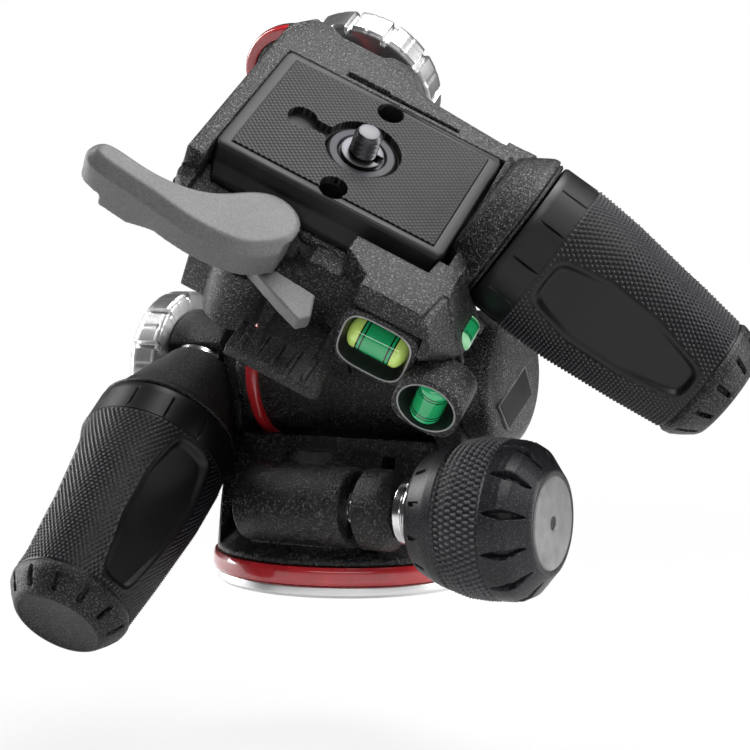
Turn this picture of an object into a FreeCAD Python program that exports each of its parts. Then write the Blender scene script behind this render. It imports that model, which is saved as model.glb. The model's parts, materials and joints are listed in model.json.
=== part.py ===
"""Three way pan tilt head: base, pan fork, tilt housing, roll platform, handles and quick plate.

Millimetres, +Z up.  The origin is the centre of the mounting face under the base.
X runs along the front-tilt axis and +Y is where the camera looks when everything is level.
"""
import FreeCAD, Part
import math
import os
import re

import Sketcher
from FreeCAD import Placement, Rotation, Vector

doc = FreeCAD.newDocument("PanTiltHead")
sheet = doc.addObject("Spreadsheet::Sheet", "Sizes")

SIZES = {
    # fits
    "gap": 0.3, "running": 0.05, "wall": 2.5,
    # base and pan bearing
    "base_radius": 30.6, "base_height": 2.7, "tripod_hole": 4.76, "tripod_depth": 12.0,
    "washer_height": 0.7, "spindle_radius": 9.0, "spindle_top": 24.0, "spindle_neck": 6.5,
    "nut_radius": 12.5, "nut_height": 3.5,
    # pan body
    "trim_radius": 31.65, "trim_height": 4.0, "trim_wall": 3.8, "rim_height": 1.3,
    "drum_height": 6.0, "drum_top_radius": 25.0,
    "fork_left": 22.6, "fork_right": 28.2, "left_cheek": 4.8, "right_cheek": 6.8,
    "left_head_radius": 12.0, "right_head_radius": 15.0, "cheek_foot": 24.0, "cheek_waist": 11.5,
    "saddle_width": 13.6, "cheek_waist_radius": 29.5, "cheek_flare_radius": 42.0,
    # pan clamp and knob
    "clamp_y": -25.3, "clamp_z": 20.2, "clamp_radius": 9.0, "clamp_left": -10.6,
    "slot_left": 16.4, "slot_right": 19.4, "clamp_right": 25.6, "lock_screw": 4.0,
    "knob_start": 33.8, "knob_length": 29.5, "knob_small": 13.2, "knob_large": 17.3,
    "knob_face": 11.0, "knob_collar": 7.7, "grip_wall": 2.2,
    # tilt axis
    "tilt_height": 48.4, "tilt_lean": 35.67, "axle_radius": 5.0, "bush_wall": 1.5,
    "barrel_radius": 15.6, "tilt_ring_radius": 16.6, "tilt_ring_x": -16.9, "tilt_ring_width": 2.8,
    "cap_radius": 15.8, "cap_height": 8.0,
    "hub_width": 14.8, "hub_radius": 14.0,
    "tilt_wheel_radius": 18.25, "tilt_wheel_width": 7.8,
    # roll axis
    "roll_height": 50.2, "roll_lean": 34.28, "roll_barrel": 10.3, "roll_front": -22.3,
    "roll_back": 34.3, "riser_width": 19.0, "riser_depth": 30.0,
    "cap_x": -9.2, "cap_w": 57.6, "rear_radius": 14.8, "rear_ring_width": 1.9,
    "rear_cap_height": 4.0, "roll_wheel_radius": 18.4, "roll_wheel_width": 8.8,
    # handles, measured along the handle from the start of its knurled grip
    "rod_radius": 5.2, "grip_radius": 17.8, "grip_end_radius": 13.9, "grip_length": 40.9,
    "band_length": 8.2, "band_radius": 17.5, "tilt_neck": 28.3, "roll_neck": 15.0, "neck_radius": 7.5,
    "cap_length": 7.3, "cap_face_radius": 10.0, "sleeve_wall": 2.4,
    "tilt_grip_x": -35.2, "tilt_grip_v": -35.6, "tilt_grip_w": 1.6, "tilt_grip_droop": 7.2,
    "roll_grip_reach": 18.25, "roll_grip_b": 0.6, "roll_grip_n": -3.3, "roll_grip_droop": 10.3,
    "roll_grip_splay": 3.7,
    # platform, in the plate's own axes: a to the right, b away, n out of the plate
    "plate_a": 13.2, "plate_n": 21.75, "plate_long": 52.0, "plate_wide": 37.2,
    "plate_base_long": 52.5, "plate_base_wide": 42.5, "plate_thick": 8.0, "pad_edge": 2.6,
    "pad_thick": 1.6, "floor_thick": 2.4, "deck_drop": 1.0,
    "hole_radius": 3.0, "hole_inset": 4.15, "near_hole_a": -0.5, "far_hole_a": 0.2,
    "key_a": -14.6, "key_radius": 3.3, "key_slot": 3.2,
    "arm_left": 30.5, "arm_right": 31.5, "arm_near": 22.5, "arm_far": 26.0, "skirt_flare": 8.5,
    "skirt_drop": 15.0, "lug_a": -9.5, "lug_radius": 6.4, "lug_b": -29.0, "lug_bottom": -31.0,
    "deck_right": 28.1, "deck_far": 19.5, "far_wall": 33.6, "foot_near": -34.6, "boss_radius": 11.5,
    "beam_width": 4.4, "beam_height": 6.0, "tab_left": -4.5, "tab_right": 17.0, "tab_near": -45.0,
    "tab_top": -24.0, "tab_thick": 3.0, "tab_depth": 8.3, "stem_width": 12.0,
    "post_left": 2.2, "post_width": 21.9, "far_slot_wide": 1.6, "far_slot_thin": 0.9, "axle_lug_width": 17.5,
    # levels
    "level_left": 14.0, "level_width": 17.5, "level_low": -24.0, "level_edge": 2.0, "shell_wall": 2.2,
    "vial_radius": 3.8, "vial_length": 13.0, "vial_wall": 0.6,
    "pitch_vial_a": 22.6, "pitch_vial_b": -32.4, "pitch_vial_n": -16.4,
    "side_vial_a": 37.2, "side_vial_b": -20.8, "side_vial_n": -13.5, "side_vial_length": 9.0,
    "plumb_vial_a": 37.5, "plumb_vial_b": -33.0, "plumb_vial_n": -21.5,
    # quick release
    "screw_radius": 3.175, "screw_shank": 2.5, "screw_top": 5.4, "screw_head_top": 4.4,
    "washer_radius": 7.6, "lever_a": -9.0,
    "lever_b": -28.0, "lever_head": 8.8, "lever_top": -3.0, "lever_thick": 8.0,
    "lever_reach": 38.2, "lever_chamfer": 2.2, "finger_start": 21.5, "finger_drop": 2.6, "claw_thick": 1.2,
    "catch_thick": 3.4, "catch_right": 9.0, "catch_near": -41.4, "catch_eye": 5.6, "pivot_radius": 3.0,
    # repeated details
    "cap_notches": 12, "wheel_grooves": 12, "tab_ribs": 5, "rib_height": 0.7, "rib_width": 1.1,
}
for row, (alias, value) in enumerate(SIZES.items(), start=1):
    sheet.set("A%d" % row, str(value))
    sheet.setAlias("A%d" % row, alias)
doc.recompute()

parts = []


def named(text):
    """Write the sheet's name before each size in an expression."""
    return re.sub(r"[a-z]\w*", lambda word: "Sizes." + word[0] if word[0] in SIZES else word[0], str(text))


def value(text):
    """The present value of an expression in the sheet's sizes."""
    return float(sheet.evalExpression(named(text)))


def bind(thing, **sizes):
    for name, text in sizes.items():
        thing.setExpression(name, named(text))
    return thing


TURNS = {"Z": Rotation(), "X": Rotation(Vector(0, 1, 0), 90), "Y": Rotation(Vector(1, 0, 0), -90)}


def seat(thing, x, y, z, along):
    """Stand a primitive at a sized place, with its own Z turned along an axis."""
    thing.Placement = Placement(Vector(), TURNS[along])
    for axis, text in zip("xyz", (x, y, z)):
        if text != 0:
            thing.setExpression("Placement.Base." + axis, named(text))
    return thing


def cylinder(name, radius, height, x=0, y=0, z=0, along="Z"):
    rod = bind(doc.addObject("Part::Cylinder", name), Radius=radius, Height=height)
    return seat(rod, x, y, z, along)


def cone(name, radius1, radius2, height, x=0, y=0, z=0, along="Z"):
    taper = bind(doc.addObject("Part::Cone", name), Radius1=radius1, Radius2=radius2, Height=height)
    return seat(taper, x, y, z, along)


def box(name, length, width, height, x, y, z):
    """A block whose low corner stands at x, y, z."""
    block = bind(doc.addObject("Part::Box", name), Length=length, Width=width, Height=height)
    return seat(block, x, y, z, "Z")


def fuse(name, *shapes):
    joined = doc.addObject("Part::MultiFuse", name)
    joined.Shapes = list(shapes)
    return joined


def cut(name, base, *tools):
    """Take one or more tools away from a base."""
    taken = doc.addObject("Part::Cut", name)
    taken.Base = base
    taken.Tool = tools[0] if len(tools) == 1 else fuse(name + "Tools", *tools)
    return taken


def common(name, first, second):
    shared = doc.addObject("Part::MultiCommon", name)
    shared.Shapes = [first, second]
    return shared


def sketch(body, name, role, corners):
    """A closed outline on one of the body's own planes, each corner held at its two sizes."""
    outline = body.newObject("Sketcher::SketchObject", name)
    plane = next(f for f in body.Origin.OriginFeatures if f.Role == role)
    outline.AttachmentSupport = (plane, [""])
    outline.MapMode = "FlatFace"
    points = [Vector(value(x), value(y), 0) for x, y in corners]
    count = len(points)
    for index, point in enumerate(points):
        outline.addGeometry(Part.LineSegment(point, points[(index + 1) % count]), False)
    for index, corner in enumerate(corners):
        outline.addConstraint(Sketcher.Constraint("Coincident", index, 2, (index + 1) % count, 1))
        for kind, text, size in zip(("DistanceX", "DistanceY"), corner, points[index]):
            held = outline.addConstraint(Sketcher.Constraint(kind, -1, 1, index, 1, size))
            outline.setExpression("Constraints[%d]" % held, named(text))
    return outline


def turned(name, corners):
    """A body turned about its own Z from (radius, height) corners."""
    body = doc.addObject("PartDesign::Body", name)
    outline = sketch(body, name + "Profile", "XZ_Plane", corners)
    spin = body.newObject("PartDesign::Revolution", name + "Turn")
    spin.Profile = outline
    spin.ReferenceAxis = (outline, ["V_Axis"])
    spin.Angle = 360
    body.Tip = spin
    return body


def padded(name, role, corners, length, both_sides=False):
    """A body padded from an outline, along its plane's normal or evenly on both sides."""
    body = doc.addObject("PartDesign::Body", name)
    outline = sketch(body, name + "Outline", role, corners)
    pad = body.newObject("PartDesign::Pad", name + "Pad")
    pad.Profile = outline
    pad.Midplane = both_sides
    pad.setExpression("Length", named(length))
    body.Tip = pad
    return body


def finish(label, thing, place=None):
    """Name a finished piece and put it where it belongs."""
    thing.Label = label
    thing.Placement = (place or Placement()).multiply(thing.Placement)
    parts.append(thing)
    return thing


def moved(x=0, y=0, z=0, axis=(0, 0, 1), angle=0):
    place = Vector(value(x), value(y), value(z))
    return Placement(place, Rotation(Vector(*axis), value(angle)))


TILT = moved(z="tilt_height", axis=(1, 0, 0), angle="tilt_lean")
ROLL = TILT.multiply(moved(z="roll_height", axis=(0, 1, 0), angle="roll_lean"))
PLATE = ROLL.multiply(moved(x="plate_a", z="plate_n"))
TILT_HANDLE = TILT.multiply(moved("tilt_grip_x", "tilt_grip_v", "tilt_grip_w", (1, 0, 0),
                                  "90 + tilt_grip_droop"))
ROLL_HANDLE = PLATE.multiply(moved("plate_base_long / 2 + roll_grip_reach", "roll_grip_b", "roll_grip_n",
                                   (0, 0, 1), "-roll_grip_splay"))
ROLL_HANDLE = ROLL_HANDLE.multiply(moved(axis=(0, 1, 0), angle="90 + roll_grip_droop"))


# ---- base: the plate that screws to a tripod, and the post that everything pans on ----

finish("base_plate", turned("BasePlate", [
    ("tripod_hole", 0), ("base_radius - 1", 0), ("base_radius", 1),
    ("base_radius", "base_height"), ("tripod_hole", "base_height")]))
finish("pan_spindle", turned("Spindle", [
    ("tripod_hole", "base_height"), ("spindle_radius", "base_height"),
    ("spindle_radius", "spindle_top"), ("spindle_neck", "spindle_top"),
    ("spindle_neck", "spindle_top + gap + nut_height + 1"),
    (0, "spindle_top + gap + nut_height + 1"), (0, "tripod_depth"), ("tripod_hole", "tripod_depth")]))
nut = turned("SpindleNutRing", [
    ("spindle_neck", "spindle_top + gap"), ("nut_radius", "spindle_top + gap"),
    ("nut_radius", "spindle_top + gap + nut_height"), ("spindle_neck", "spindle_top + gap + nut_height")])
nut_slots = [
    box("NutSlotX", "2 * nut_radius + 2", 2.5, 2, "-nut_radius - 1", -1.25,
        "spindle_top + gap + nut_height - 1.5"),
    box("NutSlotY", 2.5, "2 * nut_radius + 2", 2, -1.25, "-nut_radius - 1",
        "spindle_top + gap + nut_height - 1.5")]
finish("spindle_nut", cut("SpindleNut", nut, *nut_slots))
finish("pan_washer", turned("PanWasher", [
    ("spindle_radius + gap", "base_height"), ("trim_radius - trim_wall - 3", "base_height"),
    ("trim_radius - trim_wall - 3", "base_height + washer_height"),
    ("spindle_radius + gap", "base_height + washer_height")]))


# ---- pan body: a turned drum, two cheeks that carry the tilt axle, and a split clamp ----

trim_low = "base_height + gap"
trim_top = "base_height + gap + trim_height"
drum_top = "base_height + gap + trim_height + rim_height + drum_height"
drum = turned("Drum", [
    (0, "base_height + washer_height + gap"), ("trim_radius - trim_wall - gap",
                                               "base_height + washer_height + gap"),
    ("trim_radius - trim_wall - gap", trim_top), ("trim_radius - 1", trim_top),
    ("trim_radius - 1", trim_top + " + rim_height"), ("drum_top_radius", drum_top),
    ("nut_radius + wall", "spindle_top + 7"), (0, "spindle_top + 7")])
finish("pan_trim_ring", turned("PanTrimRing", [
    ("trim_radius - trim_wall", trim_low), ("trim_radius - 0.5", trim_low),
    ("trim_radius", trim_low + " + 0.5"),
    ("trim_radius", trim_top + " - 0.5"), ("trim_radius - 0.5", trim_top),
    ("trim_radius - trim_wall", trim_top)]))


def cheek(side, inner, thickness, head_radius):
    """One side of the fork: a round head on a waist that spreads into the drum."""
    low = trim_top + " + rim_height"
    web = padded(side + "Web", "YZ_Plane", [
        ("-cheek_foot", low), ("cheek_foot", low), ("cheek_foot - 6.5", drum_top),
        ("cheek_waist + 0.4", "tilt_height - 24"),
        ("cheek_waist", "tilt_height - 16"), ("cheek_waist", "tilt_height"),
        ("-cheek_waist", "tilt_height"), ("-cheek_waist", "tilt_height - 16"),
        ("-cheek_waist - 0.4", "tilt_height - 24"), ("-cheek_foot + 6.5", drum_top)], thickness)
    web.Placement.Base.x = value(inner)
    web.setExpression("Placement.Base.x", named(inner))
    head = cylinder(side + "Head", head_radius, thickness, inner, 0, "tilt_height", "X")
    return fuse(side + "Cheek", web, head)


waist = turned("CheekWaist", [
    (0, trim_top), ("trim_radius - 1", trim_top), ("trim_radius - 1", trim_top + " + rim_height"),
    ("cheek_waist_radius", "tilt_height - 24"), ("cheek_waist_radius", "tilt_height - 20"),
    ("cheek_flare_radius", "tilt_height - 12"), ("cheek_flare_radius", "tilt_height + 20"),
    (0, "tilt_height + 20")])
cheeks = fuse("Cheeks", cheek("Left", "-fork_left - left_cheek", "left_cheek", "left_head_radius"),
              cheek("Right", "fork_right", "right_cheek", "right_head_radius"))
cheeks = common("WaistedCheeks", cheeks, waist)
saddle = box("Saddle", "fork_left + fork_right + 2", "2 * saddle_width", "tilt_height - 25",
             "-fork_left - 1", "-saddle_width", 11)
clamp_boss = cylinder("ClampBoss", "clamp_radius", "clamp_right - clamp_left", "clamp_left", "clamp_y",
                      "clamp_z", "X")
clamp_web = box("ClampWeb", "clamp_right - clamp_left - 2", "-clamp_y", "2 * clamp_radius - 3",
                "clamp_left + 1", "clamp_y", "clamp_z - clamp_radius + 0.5")
clamp_end = cone("ClampEnd", "clamp_radius", "clamp_radius - 2.5", 2.4, "clamp_right", "clamp_y",
                 "clamp_z", "X")
fork = fuse("Fork", drum, cheeks, saddle, clamp_boss, clamp_web, clamp_end)
barrel_room = cylinder("BarrelRoom", "tilt_ring_radius + 1", "fork_left + fork_right", "-fork_left", 0,
                       "tilt_height", "X")
spindle_bore = cylinder("SpindleBore", "spindle_radius + running", "spindle_top", 0, 0, 0)
nut_room = cylinder("NutRoom", "nut_radius + gap", "tilt_height", 0, 0, "spindle_top")
bush_bore = cylinder("BushBore", "axle_radius + running + bush_wall",
                     "fork_left + fork_right + left_cheek + right_cheek",
                     "-fork_left - left_cheek", 0, "tilt_height", "X")
clamp_slot = box("ClampSlot", "slot_right - slot_left", "clamp_radius - clamp_y - 6",
                 "2 * clamp_radius + 2",
                 "slot_left", "clamp_y - clamp_radius", "clamp_z - clamp_radius - 1")
screw_bore = cylinder("ScrewBore", "lock_screw + running", "clamp_right + 20", "clamp_left + 6", "clamp_y",
                      "clamp_z", "X")
pad_bore = cylinder("PadBore", "lock_screw + 0.2", "-clamp_y", 0, "clamp_y", "clamp_z", "Y")
finish("pan_body", cut("PanBody", fork, barrel_room, spindle_bore, nut_room, bush_bore, clamp_slot,
                       screw_bore, pad_bore))

left_bush = turned("LeftBush", [
    ("axle_radius + running", "-fork_left - left_cheek"),
    ("axle_radius + running + bush_wall", "-fork_left - left_cheek"),
    ("axle_radius + running + bush_wall", "-fork_left"), ("axle_radius + running", "-fork_left")])
left_bush.Placement = Placement(Vector(0, 0, value("tilt_height")), TURNS["X"])
right_bush = turned("RightBush", [
    ("axle_radius + running", "fork_right"), ("axle_radius + running + bush_wall", "fork_right"),
    ("axle_radius + running + bush_wall", "fork_right + right_cheek"),
    ("axle_radius + running", "fork_right + right_cheek")])
right_bush.Placement = Placement(Vector(0, 0, value("tilt_height")), TURNS["X"])
bushes = doc.addObject("Part::Compound", "TiltBushes")
bushes.Links = [left_bush, right_bush]
finish("tilt_bushes", bushes)

ON_TILT = moved(z="tilt_height", axis=(0, 1, 0), angle=90)
cap_dome = turned("CapDome", [
    (0, "fork_right + right_cheek + gap"), ("cap_radius - 0.6", "fork_right + right_cheek + gap"),
    ("cap_radius", "fork_right + right_cheek + 1"), ("cap_radius",
                                                     "fork_right + right_cheek + cap_height - 2.6"),
    ("cap_radius - 1.4", "fork_right + right_cheek + cap_height - 1"),
    ("cap_radius - 4", "fork_right + right_cheek + cap_height"),
    (0, "fork_right + right_cheek + cap_height + 0.6")])
finish("tilt_end_cap", cap_dome, ON_TILT)

pad_room = cylinder("PanPadRoom", "spindle_radius + gap", "spindle_top + 10", 0, 0, 0)
pan_pad = cylinder("PanPadRod", "lock_screw", "-clamp_y - lock_screw - 2 * gap", 0,
                   "clamp_y + lock_screw + 2 * gap", "clamp_z", "Y")
finish("pan_brake_pad", cut("PanPad", pan_pad, pad_room))

# ---- pan knob: a screw through the clamp, a moulded core, a bumpy grip and an end disc ----

KNOB = moved("knob_start", "clamp_y", "clamp_z", (0, 1, 0), 90)
screw_tail = "clamp_left + 8 - knob_start"
finish("pan_knob_screw", turned("PanKnobScrew", [
    (0, screw_tail), ("lock_screw - 0.6", screw_tail), ("lock_screw", screw_tail + " + 0.6"),
    ("lock_screw", "knob_length - 6"), (0, "knob_length - 6")]), KNOB)
finish("pan_knob_collar", turned("PanKnobCollar", [
    ("lock_screw", "clamp_right + 2.4 + gap - knob_start"),
    ("knob_collar - 1", "clamp_right + 2.4 + gap - knob_start"),
    ("knob_collar", "clamp_right + 3.4 + gap - knob_start"), ("knob_collar", "0 - gap"),
    ("lock_screw", "0 - gap")]), KNOB)
finish("pan_knob_core", turned("PanKnobCore", [
    ("lock_screw", 0), ("knob_small - grip_wall - 2", 0), ("knob_small - grip_wall", 1.5),
    ("knob_large - grip_wall", "knob_length * 0.42"), ("knob_large - grip_wall", "knob_length - 6"),
    ("lock_screw", "knob_length - 6")]), KNOB)
finish("pan_knob_grip", turned("PanKnobGrip", [
    ("knob_small - grip_wall", 1.5), ("knob_small", 1.5), ("knob_large", "knob_length * 0.42"),
    ("knob_large", "knob_length - 6"), ("knob_large - grip_wall", "knob_length - 6"),
    ("knob_large - grip_wall", "knob_length * 0.42")]), KNOB)
disc = turned("PanKnobDiscRound", [
    (0, "knob_length - 6"), ("knob_large - 0.4", "knob_length - 6"),
    ("knob_large - 1.2", "knob_length - 3.5"),
    ("knob_face", "knob_length"), (2, "knob_length"), (1, "knob_length - 1"), (0, "knob_length - 1")])


def notches(name, count, radius, low, width, depth):
    """Evenly spaced rectangular notches round a Z axis, as one tool."""
    tools = []
    copies = int(value(count))
    for index in range(copies):
        notch = doc.addObject("Part::Box", "%sNotch%d" % (name, index))
        bind(notch, Length=depth, Width=width, Height=12)
        turn = Rotation(Vector(0, 0, 1), 360.0 * index / copies)
        corner = turn.multVec(Vector(value(radius), -value(width) / 2, value(low)))
        notch.Placement = Placement(corner, turn)
        tools.append(notch)
    return tools


disc_notches = notches("Disc", "cap_notches", "knob_face + 1", "knob_length - 4.6", 1.6, 8)
finish("pan_knob_disc", cut("PanKnobDisc", disc, *disc_notches), KNOB)

# ---- tilt housing: barrel on the tilt axle, riser, and the barrel of the roll axle ----

ring_left = "tilt_ring_x - tilt_ring_width / 2"
ring_right = "tilt_ring_x + tilt_ring_width / 2"
barrel = turned("TiltBarrel", [
    ("axle_radius", "-fork_left + gap"), ("barrel_radius - 1.2", "-fork_left + gap"),
    ("barrel_radius", "-fork_left + gap + 1.2"), ("barrel_radius", ring_left),
    ("barrel_radius - 2", ring_left),
    ("barrel_radius - 2", ring_right), ("barrel_radius", ring_right), ("barrel_radius", "fork_right - gap"),
    ("axle_radius", "fork_right - gap")])
barrel.Placement = Placement(Vector(), TURNS["X"])
riser = padded("Riser", "YZ_Plane", [
    ("-riser_depth / 2 + 2", 8), ("riser_depth / 2 - 2", 8), ("riser_depth / 2", "roll_height - 8"),
    ("riser_depth / 2", "roll_height"), ("-riser_depth / 2", "roll_height"),
    ("-riser_depth / 2", "roll_height - 8")],
    "riser_width", True)
roll_tube = cylinder("RollTube", "roll_barrel", "roll_back - roll_front - gap", 0, "roll_front",
                     "roll_height", "Y")
rear_plate = cylinder("RearPlate", "roll_barrel", "rear_ring_width + rear_cap_height", 0,
                      "roll_back - gap", "roll_height", "Y")
rear_core = cylinder("RearCore", "rear_radius - 2.5", "rear_ring_width", "cap_x", "roll_back", "cap_w", "Y")
housing = fuse("Housing", barrel, riser, roll_tube, rear_plate, rear_core)
roll_bore = cylinder("RollBore", "axle_radius + running", 90, 0, "roll_front - 5", "roll_height", "Y")
axle_bore = cylinder("TiltAxleBore", "axle_radius", 80, -40, 0, 0, "X")
finish("tilt_housing", cut("TiltHousing", housing, roll_bore, axle_bore), TILT)

ON_AXLE = TILT.multiply(Placement(Vector(), TURNS["X"]))
finish("tilt_trim_ring", turned("TiltTrimRing", [
    ("barrel_radius - 2", ring_left), ("tilt_ring_radius - 0.5", ring_left),
    ("tilt_ring_radius", ring_left + " + 0.5"),
    ("tilt_ring_radius", ring_right + " - 0.5"), ("tilt_ring_radius - 0.5", ring_right),
    ("barrel_radius - 2", ring_right)]),
    ON_AXLE)
hub_outer = "-fork_left - left_cheek - gap - hub_width"
wheel_outer = "-fork_left - left_cheek - 2 * gap - hub_width - tilt_wheel_width"
finish("tilt_axle", turned("TiltAxle", [
    (0, wheel_outer + " + 0.6"), ("axle_radius - 0.6", wheel_outer + " + 0.6"),
    ("axle_radius", wheel_outer + " + 1.2"),
    ("axle_radius", "fork_right + right_cheek - gap"), (0, "fork_right + right_cheek - gap")]), ON_AXLE)

hub_round = cylinder("HubRound", "hub_radius", "hub_width", hub_outer, 0, 0, "X")
hub_flat = cylinder("HubFlat", "2 * hub_radius", 30)
hub_flat.Placement = TILT.inverse().multiply(TILT_HANDLE).multiply(moved(z="-tilt_neck - 1.4 - gap"))
hub_bore = cylinder("HubBore", "axle_radius", "hub_width + 2", hub_outer + " - 1", 0, 0, "X")
finish("tilt_handle_hub", cut("HandleHub", hub_round, hub_flat, hub_bore), TILT)


def wheel(name, radius, width, low):
    """A friction wheel: a disc with a chamfer and twelve broad ridges parted by grooves."""
    rim = turned(name + "Rim", [
        ("axle_radius + running", low), (radius + " - 0.8", low), (radius, low + " + 0.8"),
        (radius, low + " + " + width + " - 1.4"), (radius + " - 1.4", low + " + " + width),
        ("axle_radius + 2.6", low + " + " + width), ("axle_radius + 2.6", low + " + " + width + " - 1.5"),
        ("axle_radius + running", low + " + " + width + " - 1.5")])
    return cut(name, rim, *notches(name, "wheel_grooves", radius + " - 1.1", low + " - 1", 2.2, 4))


finish("tilt_friction_wheel", wheel("TiltWheel", "tilt_wheel_radius", "tilt_wheel_width", "0"),
       TILT.multiply(moved("-fork_left - left_cheek - 2 * gap - hub_width", 0, 0, (0, 1, 0), -90)))

ON_ROLL = TILT.multiply(Placement(Vector(0, 0, value("roll_height")), TURNS["Y"]))
wheel_face = "roll_back + rear_ring_width + rear_cap_height + 2 * gap"
finish("roll_friction_wheel", wheel("RollWheel", "roll_wheel_radius", "roll_wheel_width", wheel_face),
       ON_ROLL)
finish("roll_axle", turned("RollAxle", [
    (0, "lug_b"), ("axle_radius", "lug_b"), ("axle_radius", wheel_face + " + roll_wheel_width - 1.2"),
    ("axle_radius - 0.6", wheel_face + " + roll_wheel_width - 0.6"),
    (0, wheel_face + " + roll_wheel_width - 0.6")]), ON_ROLL)

ring_bore = cylinder("RingBore", "roll_barrel", 30, 0, 20, "roll_height", "Y")
rear_ring = turned("RearRing", [
    ("rear_radius - 2.5", "roll_back"), ("rear_radius - 0.4", "roll_back"),
    ("rear_radius", "roll_back + 0.4"),
    ("rear_radius", "roll_back + rear_ring_width"), ("rear_radius - 2.5", "roll_back + rear_ring_width")])
rear_ring.Placement = Placement(Vector(value("cap_x"), 0, value("cap_w")), TURNS["Y"])
finish("rear_trim_ring", cut("RearTrimRing", rear_ring, ring_bore), TILT)
dome = turned("RearDome", [
    (0, "roll_back + rear_ring_width"), ("rear_radius", "roll_back + rear_ring_width"),
    ("rear_radius - 0.4", "roll_back + rear_ring_width + 1.4"),
    ("rear_radius - 2.2", "roll_back + rear_ring_width + 3"),
    ("rear_radius - 6", "roll_back + rear_ring_width + rear_cap_height - gap"),
    (0, "roll_back + rear_ring_width + rear_cap_height - gap")])
dome.Placement = Placement(Vector(value("cap_x"), 0, value("cap_w")), TURNS["Y"])
dome_bore = cylinder("DomeBore", "roll_barrel", 30, 0, 20, "roll_height", "Y")
finish("rear_cap", cut("RearCap", dome, dome_bore), TILT)


# ---- handles: a steel rod with neck and bright ring, and a grip that draws out along it ----

def handle(side, place, neck):
    """A locking handle; the grip, its sleeve and its end cap slide on the rod."""
    finish(side + "_handle_rod", turned(side + "Rod", [
        (0, "-%s - 1.4" % neck), ("rod_radius - 0.6", "-%s - 1.4" % neck),
        ("rod_radius", "-%s - 0.8" % neck),
        ("rod_radius", "grip_length - 2.6"), ("rod_radius - 0.6", "grip_length - 2"),
        (0, "grip_length - 2")]), place)
    finish(side + "_handle_ring", turned(side + "Ring", [
        ("rod_radius", "-%s - 1.4" % neck), ("neck_radius - 0.4", "-%s - 1.4" % neck),
        ("neck_radius", "-%s - 1" % neck),
        ("neck_radius", "-%s" % neck), ("rod_radius", "-%s" % neck)]), place)
    finish(side + "_handle_neck", turned(side + "Neck", [
        ("rod_radius", "-" + neck), ("neck_radius - 0.3", "-" + neck),
        ("neck_radius", "-band_length - (%s - band_length) * 0.48" % neck),
        ("band_radius * 0.72", "-band_length - (%s - band_length) * 0.26" % neck),
        ("band_radius", "-band_length - gap"), ("rod_radius", "-band_length - gap")]), place)
    finish(side + "_grip_sleeve", turned(side + "Sleeve", [
        ("rod_radius + running", "-band_length"), ("band_radius", "-band_length"), ("grip_radius", "-0.6"),
        ("grip_radius - sleeve_wall", "-0.6"), ("grip_end_radius - sleeve_wall", "grip_length"),
        (0, "grip_length"), (0, "grip_length - 1.6"), ("rod_radius + running", "grip_length - 1.6")]),
        place)
    finish(side + "_grip", turned(side + "Grip", [
        ("grip_radius - sleeve_wall", "-0.6"), ("grip_radius", "-0.6"),
        ("grip_radius - 0.4", "grip_length * 0.3"),
        ("grip_end_radius + 1.6", "grip_length * 0.72"), ("grip_end_radius", "grip_length"),
        ("grip_end_radius - sleeve_wall", "grip_length")]), place)
    cap = turned(side + "CapRound", [
        (0, "grip_length"), ("grip_end_radius - 0.3", "grip_length"),
        ("grip_end_radius + 0.1", "grip_length + 1.2"),
        ("grip_end_radius - 1.6", "grip_length + 4.6"), ("cap_face_radius", "grip_length + cap_length"),
        (0, "grip_length + cap_length")])
    finish(side + "_grip_cap", cut(side + "Cap", cap, *notches(
        side + "Cap", "cap_notches", "cap_face_radius + 1.4", "grip_length + 2.4", 1.4, 6)), place)


handle("tilt", TILT_HANDLE, "tilt_neck")
handle("roll", ROLL_HANDLE, "roll_neck")


# ---- roll platform: tray for the plate, side skirt, handle boss and the lug of the roll axle ----

floor_low = "-plate_thick - gap - floor_thick"
floor_top = "-plate_thick - gap"
tray = padded("Tray", "XY_Plane", [
    ("-arm_left", "-arm_near"), ("arm_right", "-arm_near"), ("arm_right + 0.7", "arm_far"),
    ("deck_right - 4", "arm_far - 1.5"), (8, "arm_far"), (2, "arm_far + 1.3"), (-2, "far_wall"),
    (-7, "far_wall"), (-9, "far_wall - 1.6"), (-19, "far_wall - 1.6"), (-22, "far_wall"),
    ("-arm_left + 4", "far_wall"), ("-arm_left", "far_wall - 6")],
    "plate_thick + gap + floor_thick - deck_drop")
seat(tray, 0, 0, floor_low, "Z")
skirt = padded("Skirt", "XZ_Plane", [
    ("deck_right - 3", "-deck_drop"), ("arm_right", "-deck_drop"),
    ("arm_right + skirt_flare", "-deck_drop - skirt_drop"),
    ("arm_right + skirt_flare - 1", "-deck_drop - skirt_drop - 2.5"),
    ("arm_right + 2", "-deck_drop - skirt_drop - 1"),
    ("deck_right - 3", floor_low)], "arm_far + arm_near + 4", False)
skirt.Placement.Base.y = value("arm_far")
foot = padded("Foot", "XY_Plane", [
    (15, "foot_near"), ("deck_right + 0.5", "foot_near"), ("arm_right", "-arm_near"),
    ("arm_right", "-arm_near + 4"),
    (4, "-arm_near + 4"), (4, "-arm_near - 1"), (15, "-arm_near - 9")], "plate_thick - 1 - deck_drop")
seat(foot, 0, 0, "1 - plate_thick", "Z")
lug_top = "lever_top - lever_thick - catch_thick - 2 * gap"
beam_back = "roll_front - 2 * gap"
near_beam = box("NearBeam", "arm_left + deck_right - 4", "beam_width", "beam_height", "-arm_left",
                beam_back + " - beam_width", lug_top + " - beam_height")
left_post = box("LeftPost", 6.6, "beam_width + 2", "beam_height + 6", "-arm_left",
                beam_back + " - beam_width", lug_top + " - beam_height")
right_post = box("RightPost", "post_width", "beam_width + 2", "beam_height + 6", "post_left",
                 beam_back + " - beam_width", lug_top + " - beam_height")
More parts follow.
